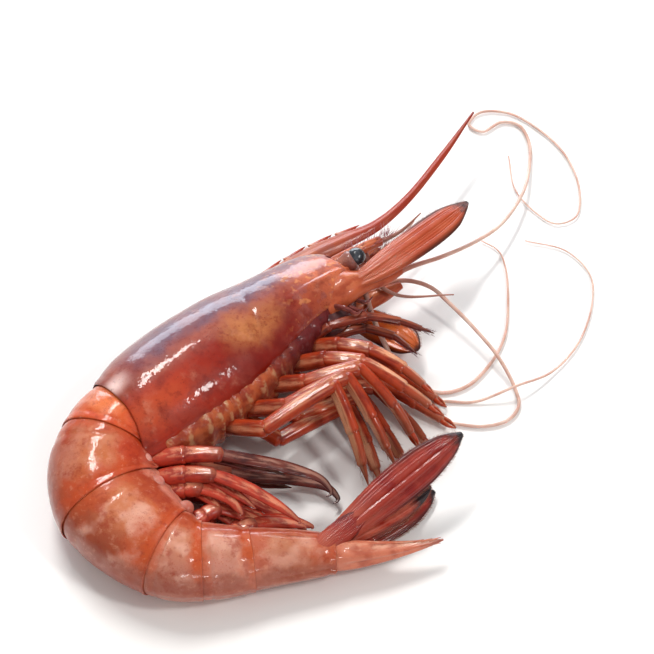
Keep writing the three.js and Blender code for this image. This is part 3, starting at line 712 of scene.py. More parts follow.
def leg(path, clawed, hair_count, seed, slim=1.0):
    """A leg of five segments. A clawed one ends in two thin fingers."""
    skin = Skin()
    path = np.array(path, float)
    tip = path[4]
    wrist = path[3] + (tip - path[3]) * PALM
    points, sizes = [*path[:4], wrist, tip], slim * np.array(LEG_SIZES)
    jointed(skin, points[:5] if clawed else points, sizes, BACK)
    if clawed:
        across = sideways(tip - path[3])
        for side in (-1, 1):
            finger = [wrist - (tip - wrist) * 0.15 + across * side * 0.22,
                      (wrist + tip) / 2 + across * side * 0.42, tip + across * side * 0.06]
            limb(skin, finger, FINGER_FORM, BACK, sides=12, steps=30)
    draw = np.random.default_rng(SEED + seed)
    count = hair_count // 4
    for start, end, size in zip(points[1:], points[2:], sizes[1:]):
        place = draw.uniform(0.1, 1, (count, 1))
        side = draw.choice([-1, 1], (count, 1))
        heading = unit(end - start)
        outward = sideways(heading) * side
        roots = start + (end - start) * place + outward * size[0] * 0.85
        ahead, aside = draw.uniform(0.3, 0.8, (count, 1)), draw.uniform(0.15, 0.5, (count, 1))
        hairs(skin, roots, roots + heading * ahead + outward * aside, 0.02, 1)
    return skin


# ------------ tail

# Rows: part of a ring's length, then its size and that of its belly as parts of the depth.
RING_FORM = [(-0.12, 0.925, 0.89), (0.0, 0.962, 0.935), (0.06, 0.978, 0.955), (0.16, 0.993, 0.98),
             (0.35, 1.005, 1.0), (0.6, 1.008, 1.015), (0.82, 1.005, 1.0), (0.95, 1.002, 0.985),
             (1.03, 0.992, 0.965)]
RING_START = -0.12  # where a ring begins under the one ahead, as a part of its length
RING_OVERLAP = 0.35  # how far it reaches over the next one
RING_KEELS = (0.0, 0.0, 0.06, 0.22, 0.28, 0.30)
RING_RIM = math.radians(150)
LOBE = 0.26  # how much further round a ring's lower corner hangs in its middle
LAST_RING = len(TAIL) - 1


def tail_ring(index):
    skin = Skin()
    length = TAIL[index][0]
    reach = 1.0 + (RING_OVERLAP if index < LAST_RING else 0.0) / length
    along = rimmed(RING_START, reach, 64, 0.15 / length)[:, None]
    across = rimmed(-1, 1, 120, 0.02)[None, :]
    rim = RING_RIM + LOBE * np.sqrt(np.maximum(0, 1 - (2 * along / reach - 1) ** 2))
    angle = across * rim
    turned = np.abs(angle)
    front = TAIL[index - 1][2:] if index else TAIL_FRONT
    depth, width = (a + (b - a) * np.clip(along, 0, 1) for a, b in zip(front, TAIL[index][2:]))
    size, belly = read(RING_FORM, along / reach)
    up, out = section(angle, depth * size, depth * belly, width * size)
    behind = RING_STARTS[index] + along * length
    keel = RING_KEELS[index] * hump(angle, 0, 0.09) * ease(along, -0.1, 0.3)
    lip = 0.03 * hump(along, reach - 0.12 / length, 0.2 / length) \
        - 0.05 * hump(along, reach - 0.8 / length, 0.3 / length)
    fold = -0.09 * hump(along, 0.24, 0.045) * ease(-turned, -2.2, -1.2) * (index < LAST_RING)
    edge = 0.09 * hump(np.abs(across), 0.985, 0.02) - 0.07 * hump(np.abs(across), 0.94, 0.025)
    dent = -0.16 * hump(turned, 1.9, 0.10) * hump(along, 0.55, 0.30)
    to_rim = np.minimum((along - RING_START) * length, (reach - along) * length)
    to_rim = np.minimum(to_rim, (1 - np.abs(across)) * rim * depth)
    shell(skin, body_point(behind, up, out), body_point(behind, 0, 0), keel + lip + fold + edge + dent,
          0.15 + 0.65 * ease(to_rim, 0.1, 1.6), around(along / reach, angle))
    return skin


def tail_flesh():
    """The soft flesh that shows between the rings on the belly side."""
    skin = Skin()
    start = -3.0
    behind = np.linspace(start, TAIL_LENGTH - 0.6, 150)[:, None]
    rears = zip(TAIL_FRONT, *(ring[2:] for ring in TAIL))
    depth, width = (np.interp(behind, RING_STARTS, sizes) * slim for sizes, slim in zip(rears, (0.86, 0.88)))
    pinch = 1 - 0.05 * sum(hump(behind, start, 0.5) for start in RING_STARTS)
    angle = turns(64)[None, :]
    points = body_point(behind, *section(angle, depth * pinch, depth * pinch, width * pinch))
    loft(skin, points, around((behind - start) / (TAIL_LENGTH - start), angle))
    return skin


TELSON_FORM = [(-0.08, 1.5, 1.8), (0, 1.85, 2.15), (0.12, 1.68, 1.95), (0.5, 1.05, 1.25), (0.85, 0.42, 0.5),
               (1, 0.1, 0.12)]
TELSON_SPINES = (0.72, 0.80, 0.88)


def telson():
    """The pointed end of the tail, grooved above, with a fringe and small spines on its edges."""
    skin = Skin()
    along, angle = np.linspace(TELSON_FORM[0][0], 1, 90)[:, None], turns(44)[None, :]
    depth, width = read(TELSON_FORM, along)
    behind = TAIL_LENGTH + along * TELSON[0]
    points = body_point(behind, *section(angle, depth, depth * 0.8, width))
    turned = np.minimum(angle, 2 * math.pi - angle)
    groove = -0.34 * hump(turned, 0, 0.22) + 0.12 * hump(turned, 0.55, 0.2) - 0.14 * hump(turned, 1.2, 0.2)
    relief = groove * depth / 1.6 * ease(along, -0.02, 0.2)
    points = points + unit(points - body_point(behind, 0, 0)) * relief[..., None]
    loft(skin, points, around(along, angle))
    for side in (-1, 1):
        edge_along = np.linspace(0.30, 0.97, 40)
        half = read(TELSON_FORM, edge_along)[1]
        behind = TAIL_LENGTH + edge_along * TELSON[0]
        edge = body_point(behind, 0, side * half * 0.97)
        outward = body_point(behind + 1.0, 0, side * (half + 0.55)) - edge
        fringe(skin, edge, outward, 120, 0.55, 0.018, 60 + side)
        for place in TELSON_SPINES:
            half = read(TELSON_FORM, place)[1]
            spot = TAIL_LENGTH + place * TELSON[0]
            path = [body_point(spot - 0.2, 0, side * half * 0.8),
                    body_point(spot + 0.5, 0, side * (half + 0.1)),
                    body_point(spot + 1.2, 0, side * (half + 0.18))]
            limb(skin, path, [(0, 0.16, 0.16), (1, 0.03, 0.03)], sides=8, steps=10)
    return skin


# The leaves of the fan: out from the middle, heading, length, height of the tip, half width, tilt.
FAN = {
    "exopod_right": (2.0, 40, 19, 8.2, 2.3, 35), "endopod_right": (0.6, 33, 13, 4.9, 1.7, 15),
    "endopod_left": (-0.9, 36, 12, 2.7, 1.6, 5), "exopod_left": (-2.2, 38, 14.5, 1.0, 2.1, 3),
}
FAN_ROOT = (0.2, -1.2)  # behind the last ring and above the axis
LEAF_FORM = [(0, 0.52, 0.75), (0.15, 0.7, 0.6), (0.42, 0.98, 0.5), (0.7, 1.0, 0.42), (0.9, 0.6, 0.3),
             (1, 0.1, 0.12)]
LEAF_RIBS = [(-0.12, 0.30), (0.30, 0.18), (-0.62, 0.16)]


def fan_leaf(blade, seed):
    skin = Skin()
    out, heading, length, tip, half_width, tilt = blade
    root = body_point(TAIL_LENGTH + FAN_ROOT[0], FAN_ROOT[1], out)
    heading, tilt = math.radians(heading), math.radians(tilt)
    cos, sin = math.cos(heading), math.sin(heading)
    path = [root + [cos * length * part, sin * length * part, (tip - root[2]) * part]
            for part in (-0.06, 0.35, 0.7, 1)]
    flat = (-sin * math.cos(tilt), cos * math.cos(tilt), math.sin(tilt))
    form = [(part, width * half_width, thickness) for part, width, thickness in LEAF_FORM]
    grid = leaf(skin, path, form, flat, 0.16, LEAF_RIBS, rows=72, columns=34)
    stout, stem = 0.62 * half_width, (path[3] - path[0]) * 0.30
    form = [(0, 0.9 * stout, 0.9), (0.15, 1.05 * stout, 1.0), (0.6, stout, 0.75), (1, 0.5 * stout, 0.2)]
    limb(skin, [path[0] - stem * 0.25, path[0] + stem * 0.5, path[0] + stem], form, flat, sides=28, steps=40)
    for column in (0, -1):
        leaf_fringe(skin, grid[26:-2], column, 1.2, 300, 70 + seed * 2 + column)
    return skin


SWIMMERETS = [
    [[-19.6, -17.9, 7.0], [-13.3, -18.0, 8.6], [-8.6, -18.5, 8.2], [-3.5, -18.8, 6.8], [0.2, -19.6, 5.6],
     [1.8, -21.2, 4.8]],
    [[-18.7, -20.2, 6.6], [-13.2, -20.4, 8.0], [-8.6, -21.9, 7.6], [-4.4, -24.2, 6.8], [-1.8, -26.0, 6.0]],
    [[-17.1, -21.6, 6.0], [-13.4, -21.8, 7.0], [-10.2, -22.9, 6.4], [-8.6, -24.8, 5.8]],
    [[-14.6, -25.6, 5.0], [-12.0, -23.6, 5.4], [-8.6, -23.8, 4.4], [-5.6, -25.0, 4.0]],
    [[-10.6, -26.8, 4.2], [-8.0, -25.0, 4.2], [-4.6, -24.6, 4.2], [-1.2, -25.3, 4.2]],
]
LEFT_SWIMMERET = {"shift": (0.8, 1.4), "heights": (3.6, 2.9, 2.4, 2.0, 1.6, 1.2)}
# The pearly knobs that show where the first swimming legs hang from the rings.
HINGES = [(-20.2, -18.7, 8.2), (-18.7, -21.7, 8.1), (-15.3, -24.4, 6.9)]
BASE_SIZES = [(1.05, 0.9, 1.2, 0.9), (1.1, 0.85, 0.95, 0.7)]
BLADE_FORM = [(0, 0.7, 0.42), (0.2, 0.85, 0.4), (0.6, 0.76, 0.32), (0.82, 0.52, 0.25),
              (0.94, 0.28, 0.17), (1, 0.05, 0.05)]
SHORT_BLADE_FORM = [(0, 0.6, 0.34), (0.4, 0.66, 0.3), (0.8, 0.4, 0.2), (1, 0.07, 0.06)]
BASE_END, SHORT_END = 36, 72  # where the base and the shorter blade end, of 100 steps
HOOK = [(-0.9, -0.05), (-0.45, 0.1), (-0.3, 0.45), (-0.45, 0.95)]  # steps ahead and aside at a tip


def hooked(path, curl):
    """The path of a swimming leg, with a tip that curls over towards the tail."""
    path = np.array(path, float)
    ahead = unit(path[-1] - path[-2])
    aside = unit(np.array([ahead[1], -ahead[0], 0]))
    return [*path[:-1], *(path[-1] + ahead * a + aside * b * curl for a, b in HOOK)]


def swimmeret(path, hinge, seed, curl, spread):
    """A stout base, then a long flat blade with a hooked tip and a shorter one beside it."""
    skin = Skin()
    points = smooth_path(hooked(path, curl), 100)
    jointed(skin, points[[0, BASE_END // 2, BASE_END]], BASE_SIZES, LEVEL)
    width, _, tangent = frames(points, LEVEL)
    limb(skin, points[BASE_END - 4::2], BLADE_FORM, LEVEL, sides=22, steps=120, ridge=0.3, finish=4)
    beside = slice(BASE_END - 3, SHORT_END)
    away = np.linspace(0.1, spread, SHORT_END - BASE_END + 3)[:, None]
    short = points[beside] - width[beside] * away - [0, 0, 0.9]
    limb(skin, short[::6], SHORT_BLADE_FORM, LEVEL, sides=18, steps=70, ridge=0.3, finish=4)
    haired = slice(45, 90)
    for side in (-1, 1):
        edge = points[haired] + width[haired] * side * 0.45
        outward = width[haired] * side * 0.6 + 1.4 * tangent[haired]
        fringe(skin, edge, outward, 90, 0.45, 0.014, 100 + seed * 2 + side)
    if hinge:
        ball(skin, hinge, 0.95, 3, 0.85)
    return skin


# ------------ materials


def linear(code):
    """A colour code as the linear colour that Blender's shaders take."""
    values = [int(code[place:place + 2], 16) / 255 for place in (0, 2, 4)]
    return [v / 12.92 if v <= 0.04045 else ((v + 0.055) / 1.055) ** 2.4 for v in values] + [1.0]


class Look:
    """
    The nodes of a material or of the world, made by short calls that give back their outputs. A
    mask is a number, an output, or (output, start, end), which rise turns into a smooth step.
    """

    def __init__(self, owner, shader="Principled BSDF"):
        owner.use_nodes = True
        self.owner, self.tree = owner, owner.node_tree
        self.inputs = self.tree.nodes[shader].inputs

    def feed(self, inputs, values):
        """Gives a node's inputs their values: outputs, numbers or colour codes."""
        for key, value in dict(values).items():
            if isinstance(value, bpy.types.NodeSocket):
                self.tree.links.new(value, inputs[key])
            else:
                inputs[key].default_value = linear(value) if isinstance(value, str) else value

    def node(self, kind, inputs=(), output=0, **settings):
        node = self.tree.nodes.new("ShaderNode" + kind)
        for name, value in settings.items():
            setattr(node, name, value)
        self.feed(node.inputs, inputs)
        return node.outputs[output]

    def mark(self, name):
        return self.node("Attribute", output="Fac", attribute_name=name)

    def calc(self, operation, a, b=0.0):
        return self.node("Math", {0: a, 1: b}, operation=operation)

    def rise(self, value, start, end, low=0.0, high=1.0):
        """Low up to start and high from end on, with a smooth way between them."""
        inputs = {"Value": value, "From Min": start, "From Max": end, "To Min": low, "To Max": high}
        return self.node("MapRange", inputs, interpolation_type="SMOOTHSTEP")

    def band(self, value, centre, half_width):
        """1 at the centre of a band, down to 0 at its edges."""
        away = self.calc("ABSOLUTE", self.calc("SUBTRACT", value, centre))
        return self.rise(away, 0.0, half_width, 1.0, 0.0)

    def noise(self, size, detail=3.0, roughness=0.55, vector=None):
        """Noise from 0 to 1, in blotches about size wide: millimetres, or the vector's own units."""
        if vector is None:
            vector, size = self.node("TexCoord", output="Object"), size * MM
        inputs = {"Vector": vector, "Scale": 1.0 / size, "Detail": detail, "Roughness": roughness}
        return self.node("TexNoise", inputs, output="Fac")

    def cells(self, size, randomness=1.0):
        """The distance from the nearest of scattered points, in cells of about size millimetres."""
        place = self.node("TexCoord", output="Object")
        inputs = {"Vector": place, "Scale": 1.0 / (size * MM), "Randomness": randomness}
        return self.node("TexVoronoi", inputs, output="Distance")

    def streaks(self, length, fineness):
        """Noise that is drawn out along a limb."""
        scaled = [self.calc("MULTIPLY", self.mark(mark), scale)
                  for mark, scale in zip(MARKS, (length, fineness, fineness))]
        return self.noise(1.0, 3.0, 0.6, self.node("CombineXYZ", enumerate(scaled)))

    def wander(self, value, size, reach):
        """A value whose borders run unevenly, by up to reach either way."""
        away = self.calc("SUBTRACT", self.noise(size, 4.0, 0.6), 0.5)
        return self.calc("ADD", value, self.calc("MULTIPLY", away, reach * 2))

    def product(self, *masks):
        total, *others = (self.rise(*mask) if isinstance(mask, tuple) else mask for mask in masks)
        for mask in others:
            total = self.calc("MULTIPLY", total, mask)
        return total

    def mix(self, mask, a, b):
        return self.node("Mix", {0: self.product(mask), 6: a, 7: b}, 2, data_type="RGBA")

    def dots(self, color, amount, size=0.26):
        """A layer of tiny pigment dots."""
        return color, (self.cells(size), 0.14, 0.36, amount, 0.0), (self.noise(2.6), 0.40, 0.62)

    def paint(self, mask, a, b, *layers):
        """The colours a and b by a mask, then layers of (colour, masks) over them, one by one."""
        color = self.mix(mask, a, b)
        for other, *masks in layers:
            color = self.mix(self.product(*masks), color, other)
        self.feed(self.inputs, {"Base Color": color})

    def flesh(self, roughness, relief, depth=0.6, soft=0.3, wet=0.7, wet_roughness=0.05):
        """
        Makes the surface wet and faintly see-through. Relief is (the size of its noise or another
        height, millimetres deep). Depth is how far light goes in, in millimetres.
        """
        normal = None
        for height, distance in relief:
            if isinstance(height, float):
                height = self.noise(height)
            inputs = {"Height": height, "Distance": distance * MM, "Strength": 1.0}
            if normal is not None:
                inputs["Normal"] = normal
            normal = self.node("Bump", inputs, output="Normal")
        self.feed(self.inputs, {
            "Roughness": self.product(roughness), "Normal": normal, "Coat Normal": normal,
            "Subsurface Weight": soft, "Subsurface Radius": (1.0, 0.36, 0.22),
            "Subsurface Scale": depth * MM, "IOR": 1.33, "Specular IOR Level": 0.25,
            "Coat Weight": wet, "Coat Roughness": wet_roughness, "Coat IOR": 1.36,
        })


def head_look(look):
    """Violet over the back, brown on the flank, deep red below, orange towards the front, and a painted
    highlight where the back meets the rear edge.
    """
    along, up = look.mark("along"), look.mark("up")
    level, where = look.wander(up, 4.5, 0.30), look.wander(along, 5.0, 0.12)
    blotch, fine = look.noise(3.0, 5.0, 0.6), look.noise(0.9, 4.0, 0.6)
    front = look.rise(where, 0.58, 0.80)
    look.paint(
        (where, 0.10, 0.45), "a42c16", "7e1204",
        ("c24f28", (where, 0.30, 0.0), look.band(level, -0.45, 0.4), 0.7),
        (look.mix((blotch, 0.35, 0.65), "8a3c30", "9e4c3a"), (level, -0.30, 0.10)),
        ("5c4c60", (level, 0.08, 0.40), (where, -0.02, 0.28), 0.85),
        ("7c463e", (level, 0.60, 0.98), 0.8),
        ("843c32", (look.noise(3.6, 4.0), 0.42, 0.74), 0.5),
        ("bc7444", look.band(where, 0.52, 0.20), look.band(level, -0.20, 0.55),
         (fine, 0.25, 0.6, 0.6, 1.0)),
        ("c46644", (where, 0.66, 0.92), (level, 0.75, 0.35)),
        ("8c4e4c", (look.noise(1.7, 3.0), 0.50, 0.64), front, 0.6),
        ("d98e54", (look.noise(1.1, 2.0), 0.58, 0.68), front, 0.5),
        # Painted highlight: a near-white sheen painted on the upper rear edge of the shell.
        ("f3d3cc", look.band(along, -0.01, 0.085), look.band(up, 0.36, 0.30), 0.85),
        ("6c0f0c", (up, -0.89, -0.97), 0.7),
        ("6c1008", (blotch, 0.48, 0.68), (level, 0.1, -0.3), 0.6),
        ("cb8a70", (look.noise(2.4, 4.0), 0.56, 0.78), 0.35),
        ("6e1a12", (fine, 0.46, 0.30), 0.4),
        look.dots("5e1512", 0.4, 0.34),
    )
    look.flesh((fine, 0.3, 0.7, 0.30, 0.45), [(3.6, 0.14), (1.2, 0.025), (0.35, 0.007)],
               soft=0.25, wet=0.65)


def beak_look(look):
    along = look.mark("along")
    look.paint(
        (along, 0.10, 0.50), "b06a4a", "9c3420",
        ("7c2018", (along, 0.80, 1.0)),
        ("8c4e4c", (look.noise(1.7, 3.0), 0.46, 0.62), (along, 0.5, 0.2), 0.6),
        ("b06048", (look.streaks(9, 1.6), 0.45, 0.7), 0.6),
    )
    look.flesh(0.4, [(0.9, 0.03)], 0.4, 0.25, 0.35, 0.12)


def breast_look(look):
    """Cream and brown ribs in a row, darker towards the front, with painted shade under the shell."""
    along, up = look.mark("along"), look.mark("up")
    drift = look.calc("SINE", look.calc("MULTIPLY", along, RIB_DRIFT[0]))
    phase = look.calc("MULTIPLY", along, 2 * math.pi * HEAD_LENGTH / RIB_PITCH)
    phase = look.calc("ADD", phase, look.calc("MULTIPLY", drift, RIB_DRIFT[1]))
    wave = look.wander(look.calc("SINE", phase), 1.2, 0.8)
    look.paint(
        (look.noise(1.6, 4.0), 0.35, 0.62), "b85c36", "943a26",
        ("c0926a", (wave, -0.1, 0.9), (look.noise(1.1, 2.0), 0.46, 0.62), 0.7),
        ("641f20", (look.wander(along, 2.0, 0.1), 0.40, 0.66)),
        # Painted shade: the flesh under the shell is darkened as if the shell shaded it.
        ("5c1d1a", (up, -0.88, -0.74)),
    )
    look.flesh(0.45, [(0.7, 0.09)], 0.6, 0.25, 0.35, 0.15)


def eye_look(look):
    look.paint((look.noise(1.2), 0.35, 0.7), "1c1b20", "43474f")
    look.flesh(0.22, [(look.cells(0.11, 0.35), 0.006)], soft=0.0, wet=1.0, wet_roughness=0.04)


def ring_look(look, back, flank, belly, edge, pale, low):
    """
    The shell of a ring of the tail. Pale flesh shows through it in patches and along its lower
    edge, as strongly as pale and low say.
    """
    along, up = look.mark("along"), look.mark("up")
    level, where = look.wander(up, 3.0, 0.35), look.wander(along, 2.2, 0.28)
    blotch, grain = look.noise(2.2, 5.0, 0.62), look.noise(0.8, 4.0, 0.65)
    seams = look.calc("MAXIMUM", look.rise(where, 0.62, 0.92), look.rise(where, 0.30, 0.06, 0.0, 0.8))
    look.paint(
        (level, 0.20, 0.75), flank, back,
        (belly, (level, 0.0, -0.45)),
        ("dca692", (look.noise(4.2, 2.5), 0.45, 0.60), (level, -0.6, -0.1), pale),
        ("962e1a", (blotch, 0.47, 0.33), 0.6),
        (edge, seams, (blotch, 0.25, 0.5, 0.45, 1.0), (level, 1.1, 0.5, 0.5, 1.0)),
        ("98402a", (along, 0.97, 0.99), 0.4),
        # Dark crimson in blotches towards the belly side: partly the shell's own colour, partly painted
        # shade.
        ("8e2416", (level, -0.30, -0.60), (blotch, 0.35, 0.55), 0.6),
        ("d88c78", (level, -0.58, -0.80), low),
        ("8e402a", (level, 0.72, 1.02), 0.75),
        ("dc9c7c", (grain, 0.54, 0.72), 0.28),
        ("8c2c16", (grain, 0.46, 0.28), 0.45),
        look.dots("a8341c", 0.35),
    )
    look.flesh((look.noise(1.0), 0.3, 0.7, 0.28, 0.42), [(2.6, 0.09), (0.9, 0.03), (0.35, 0.008)],
               1.0, 0.35, 0.65)


def hair_look(look, light, dark):
    look.paint(look.noise(0.8), light, dark)
    look.flesh(0.45, [(0.2, 0.004)], 0.6, 0.2, 0.2, 0.2)


def soft_look(look, light, dark, deep):
    look.paint((look.noise(1.6, 4.0), 0.35, 0.65), light, dark, (deep, (look.noise(4.0), 0.45, 0.7)))
    look.flesh(0.35, [(0.8, 0.06)], 0.9)


def limb_look(look, main, light, dark, tip, wet=0.6):
    """A limb with a paler stripe down the middle of its flat sides: partly its own pale streak, partly a
    painted highlight.
    """
    along, streak = look.mark("along"), look.streaks(5, 1.4)
    middle = look.rise(look.calc("ABSOLUTE", look.mark("out")), 0.74, 0.99)
    look.paint(
        (look.noise(2.0, 4.0), 0.35, 0.65), main, dark,
        (main, (streak, 0.42, 0.6), 0.7),
        # The pale stripe: partly the limb's own pale streak, partly a painted highlight.
        (light, middle, (streak, 0.36, 0.56, 0.1, 1.0), (along, 0.12, 0.5, 0.4, 0.85)),
        (tip, (along, 0.70, 1.0), 0.7),
        look.dots(dark, 0.45),
    )
    look.flesh(0.32, [(streak, 0.03), (0.9, 0.025)], 0.5, wet=wet)


def leaf_look(look, root, main, rib, tip, tip_from, dark_edge):
    """A leaf with fine ribs that run along it, dark at its tip and along its edges."""
    along, across = look.mark("along"), look.mark("up")
    ribs = look.calc("SINE", look.calc("MULTIPLY", across, 38.0))
    where = look.wander(along, 1.4, 0.11)
    look.paint(
        (look.noise(2.2, 4.0), 0.35, 0.65), main, rib,
        (root, (along, 0.45, 0.05), 0.85),
        (rib, (ribs, 0.2, 0.9), 0.22),
        (rib, look.band(across, -0.12, 0.16), 0.55),
        (tip, (where, tip_from, min(1.0, tip_from + 0.10))),
        (tip, (across, -0.66, -0.94), (where, 0.25, 0.55), dark_edge),
        (tip, (across, 0.62, 0.92), (where, 0.35, 0.7), dark_edge),
    )
    look.flesh(0.36, [(ribs, 0.018), (1.1, 0.05)], 0.4, 0.18, 0.5)


def feeler_look(look, root, light, dark):
    along = look.mark("along")
    look.paint((look.noise(3.0), 0.35, 0.65), light, dark, (root, (along, 0.22, 0.0), 0.9))
    look.flesh(0.4, [(look.calc("SINE", look.calc("MULTIPLY", along, 900.0)), 0.008)], 0.3, wet=0.4)


LOOKS = (
    (head_look, {"head_shell": ()}),
    (beak_look, {"beak": ()}),
    (breast_look, {"breast": ()}),
    (eye_look, {"eye": ()}),
    (ring_look, {
        "ring_1": ("c46a48", "d8703c", "cc4a1e", "c44a20", 0.15, 0.2),
        "ring_2": ("a4543c", "b86030", "b83c16", "b8461e", 0.2, 0.2),
        "ring_3": ("9c4a30", "c4744e", "ae4a26", "b84a20", 0.75, 0.7),
        "ring_4": ("b67460", "be7a5e", "b85634", "bc4e24", 0.72, 0.7),
        "ring_5": ("be7e6c", "b87862", "b6604a", "b85028", 0.62, 0.7),
        "ring_6": ("b0664c", "b67256", "b26044", "b45234", 0.5, 0.7),
    }),
    (hair_look, {
        "hair": ("b5727e", "8c4656"), "beard": ("6a3436", "3a1420"), "fringe": ("a3543e", "7a3228"),
    }),
    (soft_look, {
        "mouth": ("5c2f30", "3a1a20", "7a4238"), "belly": ("b0583e", "963c28", "7c2618"),
        "joint": ("8a3a24", "6c2216", "521410"), "pearl": ("d49488", "bc6c5c", "a8503c"),
    }),
    (limb_look, {
        "palps": ("7a3a34", "b06a58", "42181c", "42181c"),
        "leg": ("a83a1a", "dda27c", "7c2010", "8e4c34"),
        "jaw_leg": ("7c2a18", "a8583c", "481410", "2c0c0c"),
        "swimmeret": ("b43a26", "d88c6c", "84201c", "7a3226"),
        "dark_blade": ("64241c", "b08070", "3c1214", "260c0c"),
        "stalk": ("98503c", "a87060", "6a342c", "7c5450"),
        "telson": ("cc785c", "e4ac92", "b05840", "7c3020"),
        "foot": ("b65836", "c4734e", "963c24", "963c24", 0.35),
    }),
    (leaf_look, {
        "scale": ("ac5638", "a63e1c", "b04e2c", "34120a", 0.88, 0.9),
        "under_scale": ("a03c18", "b84a14", "c45c20", "3a0f08", 0.88, 1.0),
        "leaf": ("b65c48", "80100a", "983022", "1c0c10", 0.87, 0.7),
        "inner_leaf": ("bc6450", "9c2c1e", "b85c48", "221014", 0.74, 0.6),
    }),
    (feeler_look, {
        "feeler": ("96503e", "dec0b2", "c9a294"), "small_feeler": ("6a342c", "a8786a", "94604f"),
        "pale_feeler": ("8a4a3c", "d8b4a6", "c49a8a"),
    }),
)


# ------------ the whole animal


def material(name, compose, values):
    look = Look(bpy.data.materials.new(name))
    compose(look, *values)
    return look.owner


looks = {name: material(name, compose, values) for compose, rows in LOOKS for name, values in rows.items()}


def place(name, skin, finishes, slot, *nodes):
    """Makes a piece that rides on the body and stands for its nodes."""
    piece = make(name, skin, [looks[finish] for finish in finishes])
    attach(piece, "root")
    if nodes:
        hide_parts(*nodes)


place("head_shell", carapace(), ["head_shell", "beak", "hair"], "head_shell", "carapace")
place("leg_bases", breast(), ["breast", "beard"], "soft_flesh", "breast")
place("jaws", mouthparts(), ["mouth", "palps"], "soft_flesh", "mouthparts")
for index in range(len(TAIL)):
    number = index + 1
    place(f"tail_ring_{number}", tail_ring(index), [f"ring_{number}"], "tail_shell",
          f"abdomen_segment_{number}")
place("tail_flesh", tail_flesh(), ["belly"], "soft_flesh")
place("tail_spine", telson(), ["telson", "fringe"], "tail_shell", "telson")
for number, (name, blade) in enumerate(FAN.items()):
    look = "leaf" if "exopod" in name else "inner_leaf"
    place(f"fan_{name}", fan_leaf(blade, number), [look, "fringe"], "fan_leaf", f"uropod_{name}")
for name, side in (("right", 1), ("left", -1)):
    scale, small = ("scale", "small_feeler") if side > 0 else ("under_scale", "pale_feeler")
    place(f"eyeball_{name}", eye(side), ["eye"], "eye", f"eye_{name}")
    place(f"stalk_{name}", eyestalk(side), ["stalk"], "head_shell", f"eyestalk_{name}")
    place(f"scale_{name}", antennal_scale(name), [scale, "fringe"], "fan_leaf", f"antennal_scale_{name}")
    place(f"small_feeler_{name}", antennule(name, side), ["foot", small, "hair", "joint"], "feeler",
          f"antennule_{name}")
    place(f"long_feeler_{name}", antenna(name, side), ["foot", "feeler"], "feeler", f"antenna_{name}")
    skin = leg(JAW_LEGS[name], False, 160, 200 + side, 0.6)
    place(f"jaw_limb_{name}", skin, ["jaw_leg", "beard", "joint"], "limb", f"jaw_leg_{name}")
    for number, path in enumerate(LEGS, 1):
        skin = leg(path_on(name, path, LEFT_LEG), number < 4, 40, 210 + number * 2 + side)
        place(f"walking_leg_{number}_{name}", skin, ["leg", "fringe", "joint"], "limb",
              f"leg_{number}_{name}")
    for number, path in enumerate(SWIMMERETS, 1):
        hinge = HINGES[number - 1] if side > 0 and number <= len(HINGES) else None
        curl, spread, blade = (1.0, 0.6, "dark_blade") if number == 1 else (0.35, 1.5, "swimmeret")
        skin = swimmeret(path_on(name, path, LEFT_SWIMMERET), hinge, number * 2 + side, curl, spread)
        place(f"swim_leg_{number}_{name}", skin, ["swimmeret", "fringe", "joint", "pearl", blade], "limb",
              f"swimmeret_{number}_{name}")


# ------------ floor, lights and camera

FLOOR = 3.0  # half the side of the floor, in metres
DAYLIGHT = (1.0, 0.985, 0.96)


def floor():
    mesh = bpy.data.meshes.new("floor")
    corners = [(x * FLOOR, y * FLOOR, 0) for x, y in ((-1, -1), (1, -1), (1, 1), (-1, 1))]
    mesh.from_pydata(corners, [], [(0, 1, 2, 3)])
    look = Look(bpy.data.materials.new("pale_floor"))
    look.feed(look.inputs, {"Base Color": "f2f1f0", "Roughness": 0.6})
    mesh.materials.append(look.owner)
    ground = link("floor", mesh)


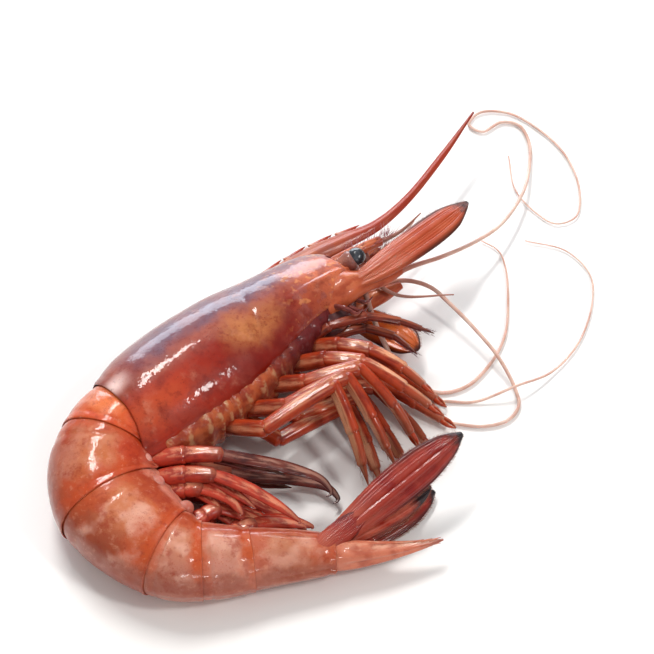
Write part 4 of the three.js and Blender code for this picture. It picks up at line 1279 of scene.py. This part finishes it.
def area_light(name, azimuth, elevation, distance, size, radiance, color=(1.0, 1.0, 1.0),
               long_side=(0, 0, 1)):
    """
    A rectangle of light that faces the origin. Azimuth 0 is behind the object, 90 to its right. Its
    second size runs along the direction long_side, as far as facing the origin allows.
    """
    a, e = math.radians(azimuth), math.radians(elevation)
    away = Vector((math.sin(a) * math.cos(e), math.cos(a) * math.cos(e), math.sin(e)))
    along = Vector(long_side)
    along = (along - away * along.dot(away)).normalized()
    data = bpy.data.lights.new(name, "AREA")
    data.shape, data.size, data.size_y = "RECTANGLE", *size
    data.energy = radiance * math.pi * size[0] * size[1]
    data.color = color
    lamp = link(name, data)
    lamp.location = away * distance
    lamp.rotation_euler = Matrix((along.cross(away), along, away)).transposed().to_euler()
    lamp.visible_camera = False


def surroundings():
    """A pale room that is brighter overhead than round the edge."""
    bpy.context.scene.world = bpy.data.worlds.new("surroundings")
    sky = Look(bpy.context.scene.world, "Background")
    height = sky.node("SeparateXYZ", {0: sky.node("TexCoord", output="Generated")}, "Z")
    inputs = {"Value": height, "From Min": -0.1, "From Max": 1.0, "To Min": 0.24, "To Max": 0.58}
    sky.feed(sky.inputs, {"Color": (1.0, 0.99, 0.98, 1), "Strength": sky.node("MapRange", inputs)})


def camera():
    """Looks along +Y from 55 degrees above the surface, half a metre away."""
    elevation, distance, seen = math.radians(55), 0.5, 0.078
    data = bpy.data.cameras.new("camera")
    data.sensor_width = 36
    data.lens = data.sensor_width * distance / seen
    view = link("camera", data)
    back = Vector((0, -math.cos(elevation), math.sin(elevation)))
    view.location = Vector((0.0, 0.001, 0.004)) + back * distance
    view.rotation_euler = back.to_track_quat("Z", "Y").to_euler()
    bpy.context.scene.camera = view


floor()
surroundings()
area_light("window_behind", -20, 58, 1.0, (0.10, 0.42), 46, DAYLIGHT, (0.5, 0.87, 0))
area_light("window_right", 112, 53, 1.0, (0.15, 0.13), 46, DAYLIGHT, (BACK[1], -BACK[0], 0))
area_light("front_strip", 168, 20, 1.0, (0.26, 0.07), 26)
area_light("low_panel", -10, 13, 0.5, (0.38, 0.17), 10, (0.80, 0.89, 1.0))
camera()
bpy.context.scene.view_settings.view_transform = "Standard"
